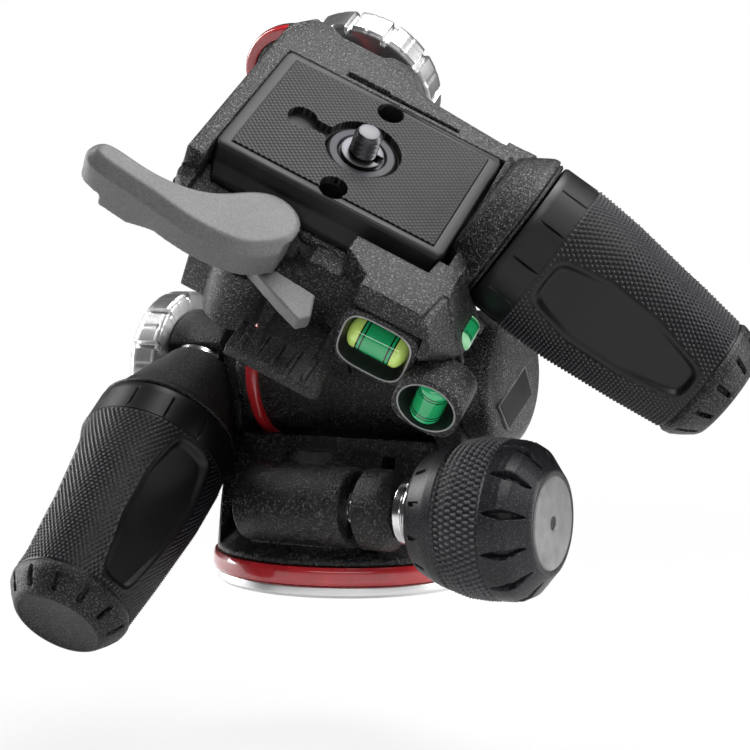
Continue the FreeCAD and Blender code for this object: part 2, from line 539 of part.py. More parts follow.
lug = cylinder("Lug", "lug_radius", lug_top + " - lug_bottom", "lug_a", "lug_b", "lug_bottom")
axle_lug = box("AxleLug", "axle_lug_width", beam_back + " - lug_b + 2",
               lug_top + " + plate_n + axle_radius + 3", "-plate_a - axle_radius - 3.2", "lug_b - 2",
               "-plate_n - axle_radius - 3")
near_end = cylinder("NearEnd", 4.6, "plate_thick - 3.4", "-arm_left + 4.6", "-arm_near - 1", floor_low)
boss_back = "-roll_neck - 12"
handle_boss = turned("HandleBoss", [
    (0, boss_back), ("boss_radius + 1", boss_back), ("boss_radius + 1", "-roll_neck - 5"),
    ("boss_radius", "-roll_neck - 1.4 - gap"), (0, "-roll_neck - 1.4 - gap")])
handle_boss.Placement = PLATE.inverse().multiply(ROLL_HANDLE)
handle_room = turned("HandleRoom", [
    (0, "-roll_neck - 1.4 - gap"), ("neck_radius + 1", "-roll_neck - 1.4 - gap"),
    ("neck_radius + 2", "-roll_neck"),
    ("band_radius + 1", "-band_length - 1.4"), ("grip_radius + 1.2", 0), ("grip_radius + 1.2", 20),
    (0, 20)])
handle_room.Placement = handle_boss.Placement
tab_stem = box("TabStem", "stem_width", "beam_width", 10, 0, beam_back + " - beam_width", "tab_top - 0.7")
body_mass = fuse("PlatformMass", tray, skirt, foot, near_beam, left_post, right_post, lug, axle_lug,
                 near_end, handle_boss, tab_stem)
low_pocket = box("LowPocket", "plate_base_long / 2 + gap + deck_right",
                 "plate_base_wide / 2 + gap + arm_near + 12",
                 3.9, "-plate_base_long / 2 - gap", "-arm_near - 12", floor_top)
top_pocket = box("TopPocket", "plate_base_long / 2 + gap + deck_right", "deck_far + arm_near + 12",
                 40, "-plate_base_long / 2 - gap", "-arm_near - 12", floor_top + " + 3.9")
foot_keep = box("PocketNear", "60", "12", "60", "9", "-arm_near - 12", "-30")
pockets = cut("Pockets", fuse("PocketsBoth", low_pocket, top_pocket), foot_keep)
lever_room = cylinder("LeverRoom", "lever_head + gap", "lever_thick + 10", "lever_a", "lever_b",
                      "lever_top - lever_thick - gap")
far_slots = [box("FarSlotWide", 10, "far_slot_wide", 6, -13, "deck_far + 1.2", -4),
             box("FarSlot", 17.6, "far_slot_thin", 6, -3, "deck_far + 1.2", -4)]
axle_seat = cylinder("AxleSeat", "axle_radius", "80", "-plate_a", "lug_b", "-plate_n", "Y")
pivot_low = "-plate_n + axle_radius + gap"
pivot_seat = cylinder("PivotSeat", "pivot_radius", 40, "lever_a", "lever_b", pivot_low)
barrel_room_roll = cylinder("RollBarrelRoom", "roll_barrel + gap", "2 * roll_back - 2 * roll_front",
                            "-plate_a", "roll_front - gap", "-plate_n", "Y")
side_pocket = cylinder("SidePocket", "side_vial_length / 2", 12, "side_vial_a", "side_vial_b",
                       "side_vial_n", "X")
side_vial_seat = cylinder("SideVialSeat", "vial_radius", "side_vial_length", "side_vial_a",
                          "side_vial_b - side_vial_length / 2", "side_vial_n", "Y")
finish("platform_frame", cut("PlatformFrame", body_mass, pockets, *far_slots, axle_seat, pivot_seat,
                             lever_room, barrel_room_roll, handle_room,
                             side_pocket, side_vial_seat), PLATE)

# ---- levels ----

block = padded("LevelBlock", "YZ_Plane", [
    ("foot_near", "-plate_thick - 1"), ("foot_near", "level_low + level_edge"),
    ("foot_near + level_edge", "level_low"), (beam_back + " - beam_width - gap", "level_low"),
    (beam_back + " - beam_width - gap", "0.7 - plate_thick"),
    ("foot_near + 1.5", "0.7 - plate_thick")], "level_width")
block.Placement.Base.x = value("level_left")
shell = cylinder("PlumbShell", "vial_radius + shell_wall", "vial_length + 1.6", "plumb_vial_a",
                 "plumb_vial_b", "plumb_vial_n - vial_length / 2 - 0.8")
shell_web = box("PlumbWeb", 7, 6, "vial_length - 1", 29, "plumb_vial_b - 2",
                "plumb_vial_n - vial_length / 2")
pitch_seat = cylinder("PitchSeat", "vial_radius", "vial_length", "pitch_vial_a - vial_length / 2",
                      "pitch_vial_b", "pitch_vial_n", "X")
pitch_window = box("PitchWindow", "vial_length - 1", 12, "2 * vial_radius + 1.6",
                   "pitch_vial_a - vial_length / 2 + 0.5",
                   "pitch_vial_b - 12", "pitch_vial_n - vial_radius - 0.8")
plumb_seat = cylinder("PlumbSeat", "vial_radius", "vial_length", "plumb_vial_a", "plumb_vial_b",
                      "plumb_vial_n - vial_length / 2")
plumb_window = box("PlumbWindow", "2 * vial_radius", 12, "vial_length - 3", "plumb_vial_a - vial_radius",
                   "plumb_vial_b - 12", "plumb_vial_n - vial_length / 2 + 1.5")
finish("level_housing", cut("LevelHousing", fuse("LevelMass", block, shell, shell_web),
                            pitch_seat, pitch_window, plumb_seat, plumb_window), PLATE)


def vial(name, x, y, z, turn, length="vial_length"):
    """A sealed level vial, its liquid and its bubble, each along the vial's own Z from its middle."""
    place = PLATE.multiply(Placement(Vector(value(x), value(y), value(z)), turn))
    half = length + " / 2 - 0.05"
    outer = "vial_radius - 0.02"
    inner = "vial_radius - vial_wall"
    cavity = half + " - vial_wall"
    finish(name + "_vial", turned(name + "Glass", [
        (0, "-(%s)" % half), (outer, "-(%s)" % half), (outer, half), (0, half), (0, cavity),
        (inner, cavity),
        (inner, "-(%s)" % cavity), (0, "-(%s)" % cavity)]), place)
    return place


vial("pitch", "pitch_vial_a", "pitch_vial_b", "pitch_vial_n", TURNS["X"])
vial("side", "side_vial_a", "side_vial_b", "side_vial_n", TURNS["Y"], "side_vial_length")
vial("plumb", "plumb_vial_a", "plumb_vial_b", "plumb_vial_n", TURNS["Z"])
tab = padded("TabPlate", "XY_Plane", [
    ("tab_left", "tab_near"), ("tab_right - 1", "tab_near"), ("tab_right", "tab_near + 1"),
    ("tab_right", "tab_near + tab_depth"), ("stem_width", "tab_near + tab_depth"),
    ("stem_width", beam_back + " - beam_width - gap"), (0, beam_back + " - beam_width - gap"),
    (0, "tab_near + tab_depth"), ("tab_left", "tab_near + tab_depth")], "tab_thick")
rib_pitch = "(tab_right - tab_left - 3) / tab_ribs"
ribs = [box("TabRib%d" % index, "rib_width", "tab_depth - 1.3", "rib_height",
            "tab_left + 2 + %d * %s" % (index, rib_pitch), "tab_near + 0.7", "tab_thick")
        for index in range(int(value("tab_ribs")))]
finish("thumb_tab", fuse("ThumbTab", tab, *ribs), PLATE.multiply(moved(z="tab_top - tab_thick")))

# ---- quick release: lever, its pivot and safety catch ----


def lever_outline():
    """The lever from above, about its pivot: one smooth curve round the finger end and the head."""
    reach, head = value("lever_reach"), value("lever_head")
    far_side = [(1.5 - reach, -1.2), (-30, -1.1), (-20, -1.6), (-13.5, 0.2), (-9, 3.6)]
    turns = (2.3, 1.7, 1.05, 0.4, -0.25, -0.9)
    round_head = [(head * math.cos(turn), head * math.sin(turn)) for turn in turns]
    near_side = [(1.2, -10.5), (-4.8, -12), (-12, -12.1), (-21, -10.6), (-32.2, -9), (1.3 - reach, -7.4)]
    points = [(-reach, -4.4)] + far_side + round_head + near_side
    curve = Part.BSplineCurve()
    curve.interpolate([Vector(x, y, 0) for x, y in points], PeriodicFlag=True)
    return Part.Face(Part.Wire(curve.toShape()))


def lever_blade():
    """The lever's outline drawn up, chamfered all round its top and deeper under the fingers."""
    thick = value("lever_thick")
    blade = lever_outline().extrude(Vector(0, 0, thick))
    rim = [edge for edge in blade.Edges if edge.BoundBox.ZMin > thick - 0.01]
    blade = blade.makeChamfer(value("lever_chamfer"), rim)
    belly = lever_outline().extrude(Vector(0, 0, -value("finger_drop")))
    inner_end = Part.makeCone(value("finger_start"), value("finger_start + 2 * finger_drop"),
                              value("finger_drop"))
    inner_end.Placement = Placement(Vector(), Rotation(Vector(1, 0, 0), 180))
    beyond = Vector(-value("lever_reach") - 34, -20, -value("finger_drop"))
    tip_end = Part.makeBox(40, 40, value("finger_drop"), beyond)
    return blade.fuse(belly.cut(inner_end).cut(tip_end)).removeSplitter()


blade = doc.addObject("Part::Feature", "LeverBlade")
blade.Shape = lever_blade()
seat(blade, "lever_a", "lever_b", "lever_top - lever_thick", "Z")
lever_bore = cylinder("LeverBore", "pivot_radius + running", "lever_thick - 2", "lever_a", "lever_b",
                      "lever_top - lever_thick")
claw_high = "lever_thick - claw_thick"
claw_room = box("ClawRoom", 60, 20, claw_high, -40, "-plate_base_wide / 2 - gap", "lever_top - lever_thick")
claw_reach = "-plate_base_wide / 2 - gap - lever_b"
claw_side = box("ClawSide", 12, 30, claw_high, "lever_a - plate_base_wide / 2 - gap - lever_b",
                "lever_b - 14", "lever_top - lever_thick")
claw_corner = cut("ClawCorner", box("ClawQuarter", 12, 12, claw_high, "lever_a", "lever_b",
                                    "lever_top - lever_thick"),
                  cylinder("ClawCore", claw_reach, 20, "lever_a", "lever_b", -20))
finish("qr_lever", cut("QrLever", blade, lever_bore, claw_room, claw_side, claw_corner), PLATE)
finish("lever_pivot", turned("LeverPivot", [
    (0, pivot_low), ("pivot_radius", pivot_low), ("pivot_radius", "lever_top - 2.6"),
    (0, "lever_top - 2.6")]),
    PLATE.multiply(moved("lever_a", "lever_b")))
catch_top = "lever_top - lever_thick - gap"
catch = padded("CatchWedge", "XY_Plane", [
    ("lever_a + 2", "lever_b - 1"), ("lever_a + catch_eye", "lever_b - 4"),
    ("catch_right - 1.8", "catch_near + 8.4"), ("catch_right", "catch_near + 2.4"),
    ("catch_right - 1.8", "catch_near"), ("lever_a + 8.1", "catch_near + 3.7"),
    ("lever_a - 1", "catch_near + 8.4")], "catch_thick")
seat(catch, 0, 0, catch_top + " - catch_thick", "Z")
catch_eye = cylinder("CatchEye", "catch_eye", "catch_thick", "lever_a", "lever_b",
                     catch_top + " - catch_thick")
catch_bore = cylinder("CatchBore", "pivot_radius + running", 20, "lever_a", "lever_b", catch_top + " - 10")
finish("safety_catch", cut("SafetyCatch", fuse("CatchMass", catch, catch_eye), catch_bore), PLATE)

# ---- camera plate: dovetailed plate, rubber pad and the captive camera screw ----

dovetail = padded("Dovetail", "YZ_Plane", [
    ("-plate_base_wide / 2", "-plate_thick"), ("plate_base_wide / 2", "-plate_thick"),
    ("plate_base_wide / 2", "-plate_thick + 1.8"),
    ("plate_wide / 2 + 0.3", "-plate_thick + 3.6"), ("plate_wide / 2", -0.6), ("plate_wide / 2 - 0.6", 0),
    ("-plate_wide / 2 + 0.6", 0), ("-plate_wide / 2", -0.6),
    ("-plate_wide / 2 - 0.3", "-plate_thick + 3.6"),
    ("-plate_base_wide / 2", "-plate_thick + 1.8")], "plate_base_long", True)
corners = padded("PlateCorners", "XY_Plane", [
    ("-plate_base_long / 2", "-plate_wide / 2 + 2"), ("-plate_base_long / 2 + 2", "-plate_base_wide / 2"),
    ("plate_base_long / 2 - 2", "-plate_base_wide / 2"), ("plate_base_long / 2", "-plate_wide / 2 + 2"),
    ("plate_base_long / 2", "plate_wide / 2 - 2"), ("plate_base_long / 2 - 2", "plate_base_wide / 2"),
    ("-plate_base_long / 2 + 2", "plate_base_wide / 2"), ("-plate_base_long / 2", "plate_wide / 2 - 2")],
    "plate_thick + 2")
seat(corners, 0, 0, "-plate_thick - 1", "Z")
pad_recess = box("PadRecess", "plate_long - 2 * pad_edge", "plate_wide - 2 * pad_edge", 5,
                 "-plate_long / 2 + pad_edge", "-plate_wide / 2 + pad_edge", "-pad_thick")
washer_recess = cylinder("WasherRecess", "washer_radius + gap", 5, 0, 0, -2.6)
screw_hole = cylinder("ScrewHole", "screw_radius + 0.05", 20, 0, 0, -10)
head_room = cylinder("HeadRoom", "washer_radius - 0.5", "plate_thick - screw_head_top", 0, 0,
                     "-plate_thick")


def pin_holes(name):
    """The two round holes through the plate and its pad, as tools."""
    low = "-plate_thick - 2"
    return [cylinder(name + "Near", "hole_radius", "plate_thick + 4", "near_hole_a",
                     "-plate_wide / 2 + hole_inset", low),
            cylinder(name + "Far", "hole_radius", "plate_thick + 4", "far_hole_a",
                     "plate_wide / 2 - hole_inset", low)]


finish("camera_plate", cut("CameraPlate", common("PlateMass", dovetail, corners), pad_recess, washer_recess,
                           screw_hole, head_room, *pin_holes("PlateHole")), PLATE)
sheet_pad = box("PadSheet", "plate_long - 2 * pad_edge", "plate_wide - 2 * pad_edge", "pad_thick + 0.3",
                "-plate_long / 2 + pad_edge", "-plate_wide / 2 + pad_edge", "-pad_thick")
pad_round = cylinder("PadRound", "washer_radius + 0.8", 20, 0, 0, -10)
key_round = cylinder("KeyRound", "key_radius", 20, "key_a", 0, -10)
key_slot = box("KeySlot", "-key_a", "key_slot", 20, "key_a", "-key_slot / 2", -10)
finish("plate_pad", cut("PlatePad", sheet_pad, pad_round, key_round, key_slot, *pin_holes("PadHole")), PLATE)
finish("screw_washer", turned("ScrewWasher", [
    ("screw_radius + 0.4", -2.6), ("washer_radius", -2.6), ("washer_radius", -1.2),
    ("washer_radius - 0.6", -0.8), ("washer_radius - 2", -0.8), ("washer_radius - 2.4", -1.4),
    ("screw_radius + 0.4", -1.4)]), PLATE)
clip_ring = turned("ClipRing", [
    ("screw_shank", -1.1), ("screw_radius + 1.5", -1.1), ("screw_radius + 1.5", -0.4),
    ("screw_shank", -0.4)])
clip_gap = box("ClipGap", 10, 2.4, 3, 0, -1.2, -2)
finish("screw_clip", cut("ScrewClip", clip_ring, clip_gap), PLATE)
screw_round = turned("CameraScrewRound", [
    (0, "-plate_thick + 0.4"), ("washer_radius - 0.8", "-plate_thick + 0.4"),
    ("washer_radius - 0.8", "-screw_head_top - gap"), ("screw_shank", "-screw_head_top - gap"),
    ("screw_shank", -0.3), ("screw_radius", -0.3), ("screw_radius", "screw_top - 0.8"),
    ("screw_radius - 0.8", "screw_top"), (0, "screw_top")])
coin_slot = box("CoinSlot", 20, 1.6, 1.6, -10, -0.8, "-plate_thick")
finish("camera_screw", cut("CameraScrew", screw_round, coin_slot), PLATE)


doc.recompute()
for thing in doc.Objects:
    state = [word for word in thing.State if word in ("Invalid", "Error")]
    if state:
        raise RuntimeError("%s is %s" % (thing.Label, state))
for piece in parts:
    if piece.Shape.isNull() or not piece.Shape.isValid():
        raise RuntimeError("%s has no valid shape" % piece.Label)

os.makedirs("parts", exist_ok=True)
for piece in parts:
    piece.Shape.exportStep("parts/%s.step" % piece.Label)
print(len(parts), "parts written")
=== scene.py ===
# %% [markdown]
# # A three way pan tilt head, dressed for its portrait
# The head is a stack of three hinges: a drum that pans on its base, a barrel that tilts in the
# drum's fork, and a platform that rolls on the barrel's arm.  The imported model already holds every
# piece at its true size and place.  So this lesson only makes surfaces: it turns, knurls, bevels
# and paints, and it asks the frame where everything sits.

# %% Load the frame
import json
import math

import bmesh
import bpy
from mathutils import Matrix, Vector
from mathutils.bvhtree import BVHTree


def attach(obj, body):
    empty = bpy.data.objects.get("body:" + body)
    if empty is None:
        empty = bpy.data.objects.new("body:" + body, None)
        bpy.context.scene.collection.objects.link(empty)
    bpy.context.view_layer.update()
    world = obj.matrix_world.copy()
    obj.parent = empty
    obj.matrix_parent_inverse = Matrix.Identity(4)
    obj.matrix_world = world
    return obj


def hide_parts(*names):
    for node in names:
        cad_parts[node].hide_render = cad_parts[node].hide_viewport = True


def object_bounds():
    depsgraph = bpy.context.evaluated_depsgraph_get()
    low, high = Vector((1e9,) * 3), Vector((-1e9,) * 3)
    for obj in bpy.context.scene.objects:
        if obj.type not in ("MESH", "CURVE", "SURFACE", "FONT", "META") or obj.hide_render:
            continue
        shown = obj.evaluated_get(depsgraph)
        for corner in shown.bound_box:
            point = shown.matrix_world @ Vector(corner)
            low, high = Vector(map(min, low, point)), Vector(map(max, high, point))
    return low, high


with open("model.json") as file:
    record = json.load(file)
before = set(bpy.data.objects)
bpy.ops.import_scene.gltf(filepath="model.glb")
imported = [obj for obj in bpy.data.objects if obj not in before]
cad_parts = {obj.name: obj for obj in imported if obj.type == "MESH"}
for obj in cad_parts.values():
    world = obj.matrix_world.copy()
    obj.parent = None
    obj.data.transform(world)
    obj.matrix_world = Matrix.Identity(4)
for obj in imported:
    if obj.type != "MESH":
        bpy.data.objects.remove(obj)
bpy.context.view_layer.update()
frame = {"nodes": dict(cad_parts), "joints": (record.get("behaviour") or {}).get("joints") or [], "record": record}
MM = 0.001
nodes = frame["nodes"]
joints = {joint["name"]: joint for joint in frame["joints"]}
mounts = {mount["name"]: mount for mount in frame["record"]["mounts"]}

# %% [markdown]
# ## The camera first
# A portrait is framed before it is lit.  A long lens from a little above the tilt axle keeps the
# perspective calm.  Three Euler angles typed in by hand would do, but yaw, pitch and roll that
# make a rotation matrix are easier to reason about.

# %% Camera
LENS_MM = 88.8
SENSOR_MM = 36
NEAR_CLIP = 0.01
CAMERA_PLACE = Vector((0.21175, -0.37907, 0.07551))
CAMERA_YAW = 0.495037
CAMERA_PITCH = 0.064199
CAMERA_ROLL = 0.0041535


def aim(yaw, pitch, roll):
    """Camera axes from its compass angle, its height angle and its lean."""
    back = Vector((math.sin(yaw) * math.cos(pitch), -math.cos(yaw) * math.cos(pitch), math.sin(pitch)))
    right = Vector((math.cos(yaw), math.sin(yaw), 0))
    up = back.cross(right)
    leant_right = right * math.cos(roll) + up * math.sin(roll)
    leant_up = up * math.cos(roll) - right * math.sin(roll)
    return Matrix((leant_right, leant_up, back)).transposed().to_4x4()


camera_data = bpy.data.cameras.new("portrait_lens")
camera_data.lens = LENS_MM
camera_data.sensor_width = SENSOR_MM
camera_data.clip_start = NEAR_CLIP
camera = bpy.data.objects.new("portrait_camera", camera_data)
bpy.context.scene.collection.objects.link(camera)
camera.matrix_world = Matrix.Translation(CAMERA_PLACE) @ aim(CAMERA_YAW, CAMERA_PITCH, CAMERA_ROLL)
bpy.context.scene.camera = camera
bpy.context.scene.view_settings.view_transform = "Standard"
print("camera at", tuple(round(x, 3) for x in camera.location))

# %% [markdown]
# ## Places to work in
# Nothing on this head is square to the room.  A piece could be modelled where it stands, with every
# corner turned by hand, but it is easier at a bench: each mechanism gets a frame of its own, built
# from a joint's axis or a mount's axis.  A piece is made upright in that frame and then carried
# over in one step, which leaves its object at the origin and its place in its mesh.

# %% Frames of the mechanisms
PAD_PROUD = 0.3 * MM


def joint_axis(name):
    """The direction of a joint's axis."""
    return Vector(joints[name]["axis"]).normalized()


def joint_place(name):
    """A point on a joint's axis."""
    return Vector(joints[name]["pos_m"])


def bench(origin, along, across=(0, 0, 1)):
    """A frame with its Z along an axis and its X as near to a second direction as it can be."""
    z_axis = Vector(along).normalized()
    y_axis = z_axis.cross(Vector(across)).normalized()
    x_axis = y_axis.cross(z_axis)
    turn = Matrix((x_axis, y_axis, z_axis)).transposed().to_4x4()
    return Matrix.Translation(Vector(origin)) @ turn


def reach_along(place, node):
    """Lowest and highest place of a node along the Z of a frame, in metres."""
    back = place.inverted()
    heights = [(back @ vertex.co).z for vertex in nodes[node].data.vertices]
    return min(heights), max(heights)


screw_place = Vector(mounts["camera_screw"]["pos_m"])
plate_normal = Vector(mounts["camera_screw"]["axis"]).normalized()
plate_away = -joint_axis("roll_turn")
_, pad_top = reach_along(bench(screw_place, plate_normal), "plate_pad")
plate_centre = screw_place + plate_normal * (pad_top - PAD_PROUD)
PLATE = bench(plate_centre, plate_normal, plate_away.cross(plate_normal))
TILT_AXLE = bench(joint_place("tilt_turn"), (1, 0, 0), joint_axis("roll_turn"))
CAP_AXLE = bench(joint_place("tilt_turn"), (1, 0, 0))
ROLL_AXLE = bench(joint_place("roll_turn"), plate_away, plate_normal)
TILT_HANDLE = bench(joint_place("tilt_handle_turn"), joint_axis("tilt_grip_travel"), (1, 0, 0))
ROLL_HANDLE = bench(joint_place("roll_handle_turn"), joint_axis("roll_grip_travel"), plate_away)
pan_clamp = bench(joint_place("pan_knob_turn"), (1, 0, 0))
PAN_KNOB = pan_clamp @ Matrix.Translation((0, 0, reach_along(pan_clamp, "pan_knob_core")[0]))
BASE = Matrix.Identity(4)
print("plate centre mm", tuple(round(x / MM, 2) for x in plate_centre))

# %% [markdown]
# ## Making a mesh into a piece
# Every piece ends the same way: the bmesh moves to its place and becomes a mesh, takes its paint,
# rides on a body and stands for its plain nodes.  One function does that, so no piece forgets a
# step.  Most pieces of a camera head come off a lathe, so a second pair of functions spins a
# profile and breaks its corners, as a turner does with the edge of the tool.

# %% Finish a piece
MERGE_WITHIN = 0.002 * MM
finished = []


def piece(name, mesh, place, body, paint, stands_for, smooth_angle=35):
    """Turn a bmesh in a local frame into a finished piece of the head."""
    bmesh.ops.remove_doubles(mesh, verts=mesh.verts, dist=MERGE_WITHIN)
    bmesh.ops.recalc_face_normals(mesh, faces=mesh.faces)
    mesh.transform(place)
    data = bpy.data.meshes.new(name)
    mesh.to_mesh(data)
    mesh.free()
    made = bpy.data.objects.new(name, data)
    bpy.context.scene.collection.objects.link(made)
    data.shade_smooth()
    data.set_sharp_from_angle(angle=math.radians(smooth_angle))
    data.materials.append(paint)
    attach(made, body)
    if stands_for:
        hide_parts(*stands_for)
    finished.append(name)
    return made


# %% Turn a profile on the lathe
ARC_STEPS = 3


def turned_mesh(profile, steps, closed=False):
    """A bmesh spun once round Z from (radius, height) corners in millimetres."""
    mesh = bmesh.new()
    corners = [mesh.verts.new((radius * MM, 0, height * MM)) for radius, height in profile]
    if closed:
        corners.append(corners[0])
    edges = [mesh.edges.new(pair) for pair in zip(corners, corners[1:])]
    bmesh.ops.spin(mesh, geom=mesh.verts[:] + edges, cent=(0, 0, 0), axis=(0, 0, 1),
                   angle=math.tau, steps=steps, use_merge=True)
    bmesh.ops.remove_doubles(mesh, verts=mesh.verts, dist=MERGE_WITHIN)
    return mesh


def rounded(profile, radius):
    """Swap each sharp corner of an open (radius, height) profile for a small arc."""
    points = [Vector(corner) for corner in profile]
    smooth = [points[0]]
    for before, corner, after in zip(points, points[1:], points[2:]):
        reach = min(radius, (before - corner).length * 0.45, (after - corner).length * 0.45)
        start = corner + (before - corner).normalized() * reach
        end = corner + (after - corner).normalized() * reach
        for step in range(ARC_STEPS + 1):
            share = step / ARC_STEPS
            smooth.append(start.lerp(corner, share).lerp(corner.lerp(end, share), share))
    smooth.append(points[-1])
    return [tuple(point) for point in smooth]


def turned_piece(name, profile, place, body, paint, stands_for, edge, steps=128, hollow=True):
    """A lathe-turned piece with broken corners: a ring where it is hollow, else a solid button."""
    corners = profile + profile[:1] if hollow else profile
    return piece(name, turned_mesh(rounded(corners, edge), steps), place, body, paint, stands_for)


# %% [markdown]
# ## Shader maths as plain expressions
# A material is a sum: grain plus speckle, times a mask.  Wired up by hand, such a sum is a page of
# nodes.  Wrapping a socket in a small class lets Python's own operators add the Math nodes, so the
# recipe reads like the idea behind it, and every other node comes from one method.

# %% Wires
class Wire:
    """An output socket that can be added to, taken from and scaled."""

    def __init__(self, recipe, socket):
        self.recipe = recipe
        self.socket = socket

    def math(self, operation, *values):
        return self.recipe.node("ShaderNodeMath", {"operation": operation}, *values)

    def __add__(self, other):
        return self.math("ADD", self, other)

    def __sub__(self, other):
        return self.math("SUBTRACT", self, other)

    def __rsub__(self, other):
        return self.math("SUBTRACT", other, self)

    def __mul__(self, other):
        return self.math("MULTIPLY", self, other)

    __radd__ = __add__
    __rmul__ = __mul__

    def __abs__(self):
        return self.math("ABSOLUTE", self)

    def sine(self):
        return self.math("SINE", self)


# %% Recipes and paints
class Recipe:
    """A node tree and the one method that adds nodes to it."""

    def __init__(self, tree):
        self.tree = tree

    def feed(self, socket, value):
        """Link a wire to an input socket, or type a plain value into it."""
        if isinstance(value, Wire):
            self.tree.links.new(value.socket, socket)
        else:
            socket.default_value = value

    def node(self, kind, settings, *inputs, output=0, **named_inputs):
        """Add a node: its settings first, then its sockets by number or by name."""
        made = self.tree.nodes.new(kind)
        for label, value in settings.items():
            if label == "stops":
                self.colour_stops(made.color_ramp.elements, value)
            else:
                setattr(made, label, value)
        for label, value in [*enumerate(inputs), *named_inputs.items()]:
            key = label.replace("_", " ") if isinstance(label, str) else label
            self.feed(made.inputs[key], value)
        return Wire(self, made.outputs[output]) if made.outputs else None

    def colour_stops(self, elements, stops):
        """Give a colour ramp its (position, colour) stops."""
        while len(elements) < len(stops):
            elements.new(1)
        for element, (position, colour) in zip(elements, stops):
            element.position = position
            element.color = (*colour, 1)


class Paint(Recipe):
    """A material with a Principled shader."""

    def __init__(self, name, roughness=0.5, metallic=0.0, coat=0.0, **constants):
        self.material = bpy.data.materials.new(name)
        self.material.use_nodes = True
        super().__init__(self.material.node_tree)
        self.shader = next(n for n in self.tree.nodes if n.type == "BSDF_PRINCIPLED")
        self.set("Roughness", roughness)
        self.set("Metallic", metallic)
        self.set("Coat Weight", coat)
        for label, value in constants.items():
            self.set(label.replace("_", " "), value)

    def set(self, label, value):
        self.feed(self.shader.inputs[label], value)

    def spot(self, centre=(0, 0, 0), turn=(0, 0, 0), scale=(1, 1, 1)):
        """Object coordinates, moved, turned and stretched by a Mapping node."""
        place = self.node("ShaderNodeTexCoord", {}, output=3)
        return self.node("ShaderNodeMapping", {"vector_type": "TEXTURE"}, place,
                         tuple(centre), tuple(turn), tuple(scale))

    def axes(self, place):
        """The X, Y and Z of a frame at each point of the surface, in millimetres."""
        spot = self.spot(place.translation, place.to_euler(), (MM, MM, MM))
        split = self.node("ShaderNodeSeparateXYZ", {}, spot)
        return [Wire(self, output) for output in split.socket.node.outputs]

    def noise(self, size_mm, detail=2.0, roughness=0.5, vector=None):
        """Cloudy noise with features of about this size, from 0 to 1."""
        return self.node("ShaderNodeTexNoise", {}, vector or self.spot(), Scale=1 / (size_mm * MM),
                         Detail=detail, Roughness=roughness)

    def ramp(self, factor, *stops):
        return self.node("ShaderNodeValToRGB", {"stops": stops}, factor)

    def bump(self, height, depth_mm):
        normal = self.node("ShaderNodeBump", {}, Strength=1.0, Distance=depth_mm * MM, Height=height)
        self.set("Normal", normal)


def grey(level, blue=0.0):
    """A neutral colour, or one with a breath of blue."""
    return (level, level, level + blue)


# %% [markdown]
# ## Black, four ways
# Nearly the whole head is black, and only the surface tells its pieces apart.  The castings wear a
# crinkled powder coat, the mouldings a spark-eroded sand grain, the grips a dull rubber, and the
# small covers are smooth.  An image of each could be wrapped round the pieces, but it would show its
# seams, while noise has none and takes any size of grain.  Each way is one function, so a change of
# grain is made in one place.  The crests of the two coats turn paler than their valleys, because a
# crest catches light from more sides than so small a bump can show.

# %% Coats with a grain
def painted_grain_light(paint, grain, level, middle, crest):
    """Black that turns paler from the valleys of a grain to its crests: painted shade in the valleys and a painted
    highlight on the crests.
    """
    # Painted shade in the grain's valleys and a painted highlight on its crests, for light the bump is too small
    # to show.
    painted_valley_shade = grey(level * 0.3)
    return paint.ramp(grain, (0.46, painted_valley_shade), (0.56, grey(level * middle)), (0.65, grey(level * crest)))


def crinkle_black(name, level=0.01, grain_mm=0.46, depth_mm=0.3, gloss=0.27):
    """Powder coat on a die casting: a fine crinkle that catches the light in specks."""
    paint = Paint(name, IOR=1.38)
    coarse = paint.noise(grain_mm, detail=3.0, roughness=0.6)
    cloud = paint.noise(9.0)
    paint.set("Base Color", painted_grain_light(paint, coarse, level, 1.5, 10))
    paint.set("Roughness", gloss + 0.12 * cloud - 0.1 * coarse)
    paint.bump(coarse, depth_mm)
    return paint.material


def sand_black(name, level=0.01, grain_mm=0.34, depth_mm=0.15):
    """Moulded plastic with a spark-eroded grain."""
    paint = Paint(name, IOR=1.36)
    grain = paint.noise(grain_mm, roughness=0.55)
    paint.set("Base Color", painted_grain_light(paint, grain, level, 1.4, 9))
    paint.set("Roughness", 0.38 + 0.12 * paint.noise(6.0))
    paint.bump(grain, depth_mm)
    return paint.material


# %% [markdown]
# The paint lightens the tops of the knurl as a painted highlight, for the light that the bumps
# catch.  The knurl is real geometry, so its maker writes how proud each vertex is into an attribute
# named raised, and the paint reads that.  A second pattern in the shader would never line up with
# the bumps.  On a piece without the attribute it reads as nought, and the rubber keeps its plain
# colour.

# %% Rubber and smooth covers
def grip_rubber(name, level=0.007, speck=0.0):
    """Dull soft rubber, painted paler where its surface is raised as a painted highlight, and sand-specked if
    asked.
    """
    paint = Paint(name, IOR=1.4)
    bloom = paint.noise(7.0, detail=4.0, roughness=0.6)
    raised = paint.node("ShaderNodeAttribute", {"attribute_name": "raised"}, output=2)
    # Raised knurl tops get a painted highlight; the bloom and the sand specks are the rubber's own tone.
    bloom_and_painted_highlight = 0.12 * bloom + 0.88 * raised + speck * paint.noise(0.4) * paint.noise(0.4)
    paint.set("Base Color", paint.ramp(bloom_and_painted_highlight, (0.02, grey(level * 0.6, 0.001)), (0.3, grey(level, 0.003)),
                                       (0.85, grey(level * 13, 0.006))))
    paint.set("Roughness", 0.34 + 0.16 * bloom)
    paint.bump(paint.noise(0.25), 0.008)
    return paint.material


def smooth_black(name, level=0.016, gloss=0.3):
    """Plain moulded plastic, nearly polished."""
    paint = Paint(name, IOR=1.36)
    wave = paint.noise(4.0, detail=3.0)
    paint.set("Base Color", paint.ramp(wave, (0.3, grey(level * 0.8)), (0.7, grey(level * 1.25))))
    paint.set("Roughness", gloss + 0.1 * wave)
    paint.bump(paint.noise(0.6), 0.006)
    return paint.material


